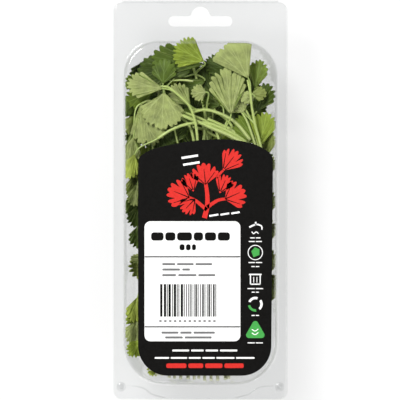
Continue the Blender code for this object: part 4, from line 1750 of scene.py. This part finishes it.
    def build_foot(self) -> None:
        """Print the dashes under the panel."""
        for y, spans, ink, width in (
            (-75.1, ((-14.0, -5.6), (-4.6, 1.6), (2.6, 8.8), (9.8, 18.4)), "white", 0.95),
            (-78.8, ((-22.8, -15.6), (-14.8, -6.6), (-5.8, 0.2), (1.0, 7.2), (8.0, 17.0), (17.8, 27.0)),
             "white", 0.85),
            (-82.7, ((-17.0, -7.0), (-6.0, 1.4), (2.4, 11.0), (12.0, 21.6)), "red", 2.3),
        ):
            for x0, x1 in spans:
                self.bar(ink, x0, x1, y, width)

    def build(self) -> None:
        """Build the label and everything printed on it."""
        stock = prism("front_label_stock", self.outline(), self.low, self.high, self.palette.black)
        face_outwards(stock)
        fit(stock, "lid", "label_black", "front_label")
        self.build_panel()
        self.build_emblem()
        self.build_icons()
        self.build_foot()
        for (ink, layer), shapes in self.layers.items():
            piece = joined(f"print_{ink}_{layer}", shapes)
            face_outwards(piece)
            fit(piece, "lid", "label_black")


@dataclass
class BackLabel:
    """The plain label under the tray, black towards the herbs."""

    palette: Palette
    inset: float = 3.0 * MM
    half_ink: float = 0.02 * MM

    def build(self) -> None:
        """Dress the frame's label and lay a plain white panel on its underside."""
        redress("back_label", self.palette.black)
        low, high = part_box("back_label")
        edge = self.inset
        outline = rounded_box((low.x + edge, low.y + edge), (high.x - edge, high.y - edge), edge)
        panel = prism("back_panel", outline, low.z - self.half_ink, low.z + self.half_ink, self.palette.white)
        face_outwards(panel)
        fit(panel, "tray", "label_black")


# ---------------------------------------------------------------- studio


@dataclass
class Studio:
    """A pale floor, soft light and a camera straight above the pack."""

    view_width: float = 200.0 * MM
    focus_height: float = 28.5 * MM
    distance: float = 1.7
    aim_x: float = -0.2 * MM
    sensor_width: float = 36.0
    floor_light: float = 0.66
    air_light: float = 0.55
    floor_dark: float = 0.25
    floor_pale: float = 0.28
    air_top: float = 0.12
    air_start: float = 0.62
    air_end: float = 0.96
    lamps: tuple[tuple, ...] = (  # name, place, size, power
        ("key", (-0.55, 0.60, 0.95), 0.45, 17.0),
        ("fill", (0.8, -0.3, 0.8), 0.9, 5.0),
        ("foot", (-0.3, -0.9, 0.6), 0.6, 2.5),
    )

    def build(self) -> None:
        """Build floor, lights and camera."""
        self.build_floor()
        self.build_lights()
        self.build_camera()

    def build_floor(self) -> None:
        """Lay a wide pale floor under the pack."""
        graph = Graph("studio_floor")
        tone = graph.share(graph.noise(6.0), self.floor_dark, self.floor_pale)
        values = {"Base Color": tone, "Roughness": 0.8, "Specular IOR Level": 0.1,
                  "Emission Color": (1.0, 1.0, 1.0, 1.0), "Emission Strength": self.floor_light}
        finish = graph.principled(values)
        floor = prism("floor", rounded_box((-4, -4), (4, 4), 0.5), -0.01, -0.05 * MM, finish)
        face_outwards(floor)

    def build_lights(self) -> None:
        """Light the pack softly from all round, a little stronger from the upper left."""
        scene = bpy.context.scene
        scene.view_settings.view_transform = "Standard"
        scene.world = bpy.data.worlds.new("studio_air")
        scene.world.use_nodes = True
        tree = scene.world.node_tree
        air = tree.nodes["Background"]
        air.inputs["Strength"].default_value = self.air_light
        way = tree.nodes.new("ShaderNodeTexCoord").outputs["Generated"]
        split = tree.nodes.new("ShaderNodeSeparateXYZ")
        ramp = tree.nodes.new("ShaderNodeValToRGB")
        stops = ((self.air_start, 1.0), (self.air_end, self.air_top))
        for stop, (place, grey) in zip(ramp.color_ramp.elements, stops):
            stop.position, stop.color = place, (grey, grey, grey, 1.0)
        tree.links.new(way, split.inputs[0])
        tree.links.new(split.outputs["Z"], ramp.inputs["Fac"])
        tree.links.new(ramp.outputs["Color"], air.inputs["Color"])
        for name, place, size, power in self.lamps:
            lamp = bpy.data.lights.new(name, "AREA")
            lamp.energy, lamp.size = power, size
            light = put(name, lamp)
            light.location = place
            light.rotation_euler = (-Vector(place)).to_track_quat("-Z", "Y").to_euler()

    def build_camera(self) -> None:
        """Set the camera straight above, with a long lens."""
        data = bpy.data.cameras.new("camera")
        data.sensor_width = self.sensor_width
        data.lens = data.sensor_width * self.distance / self.view_width
        data.clip_start, data.clip_end = 0.05, 20.0
        camera = put("camera", data)
        camera.location = (self.aim_x, 0.0, self.focus_height + self.distance)
        bpy.context.scene.camera = camera


def main() -> None:
    """Build the pack in order."""
    logging.basicConfig(level=logging.INFO, format="%(name)s: %(message)s")
    palette = Palette().build()
    space = PackSpace()
    parts = (Studio(), ClearPack(space, palette), FrontLabel(palette), BackLabel(palette),
             Bunch(space, palette))
    for part in parts:
        part.build()
        LOG.info("%s: done", type(part).__name__)
    bpy.context.view_layer.update()


if __name__ == "__main__":
    main()
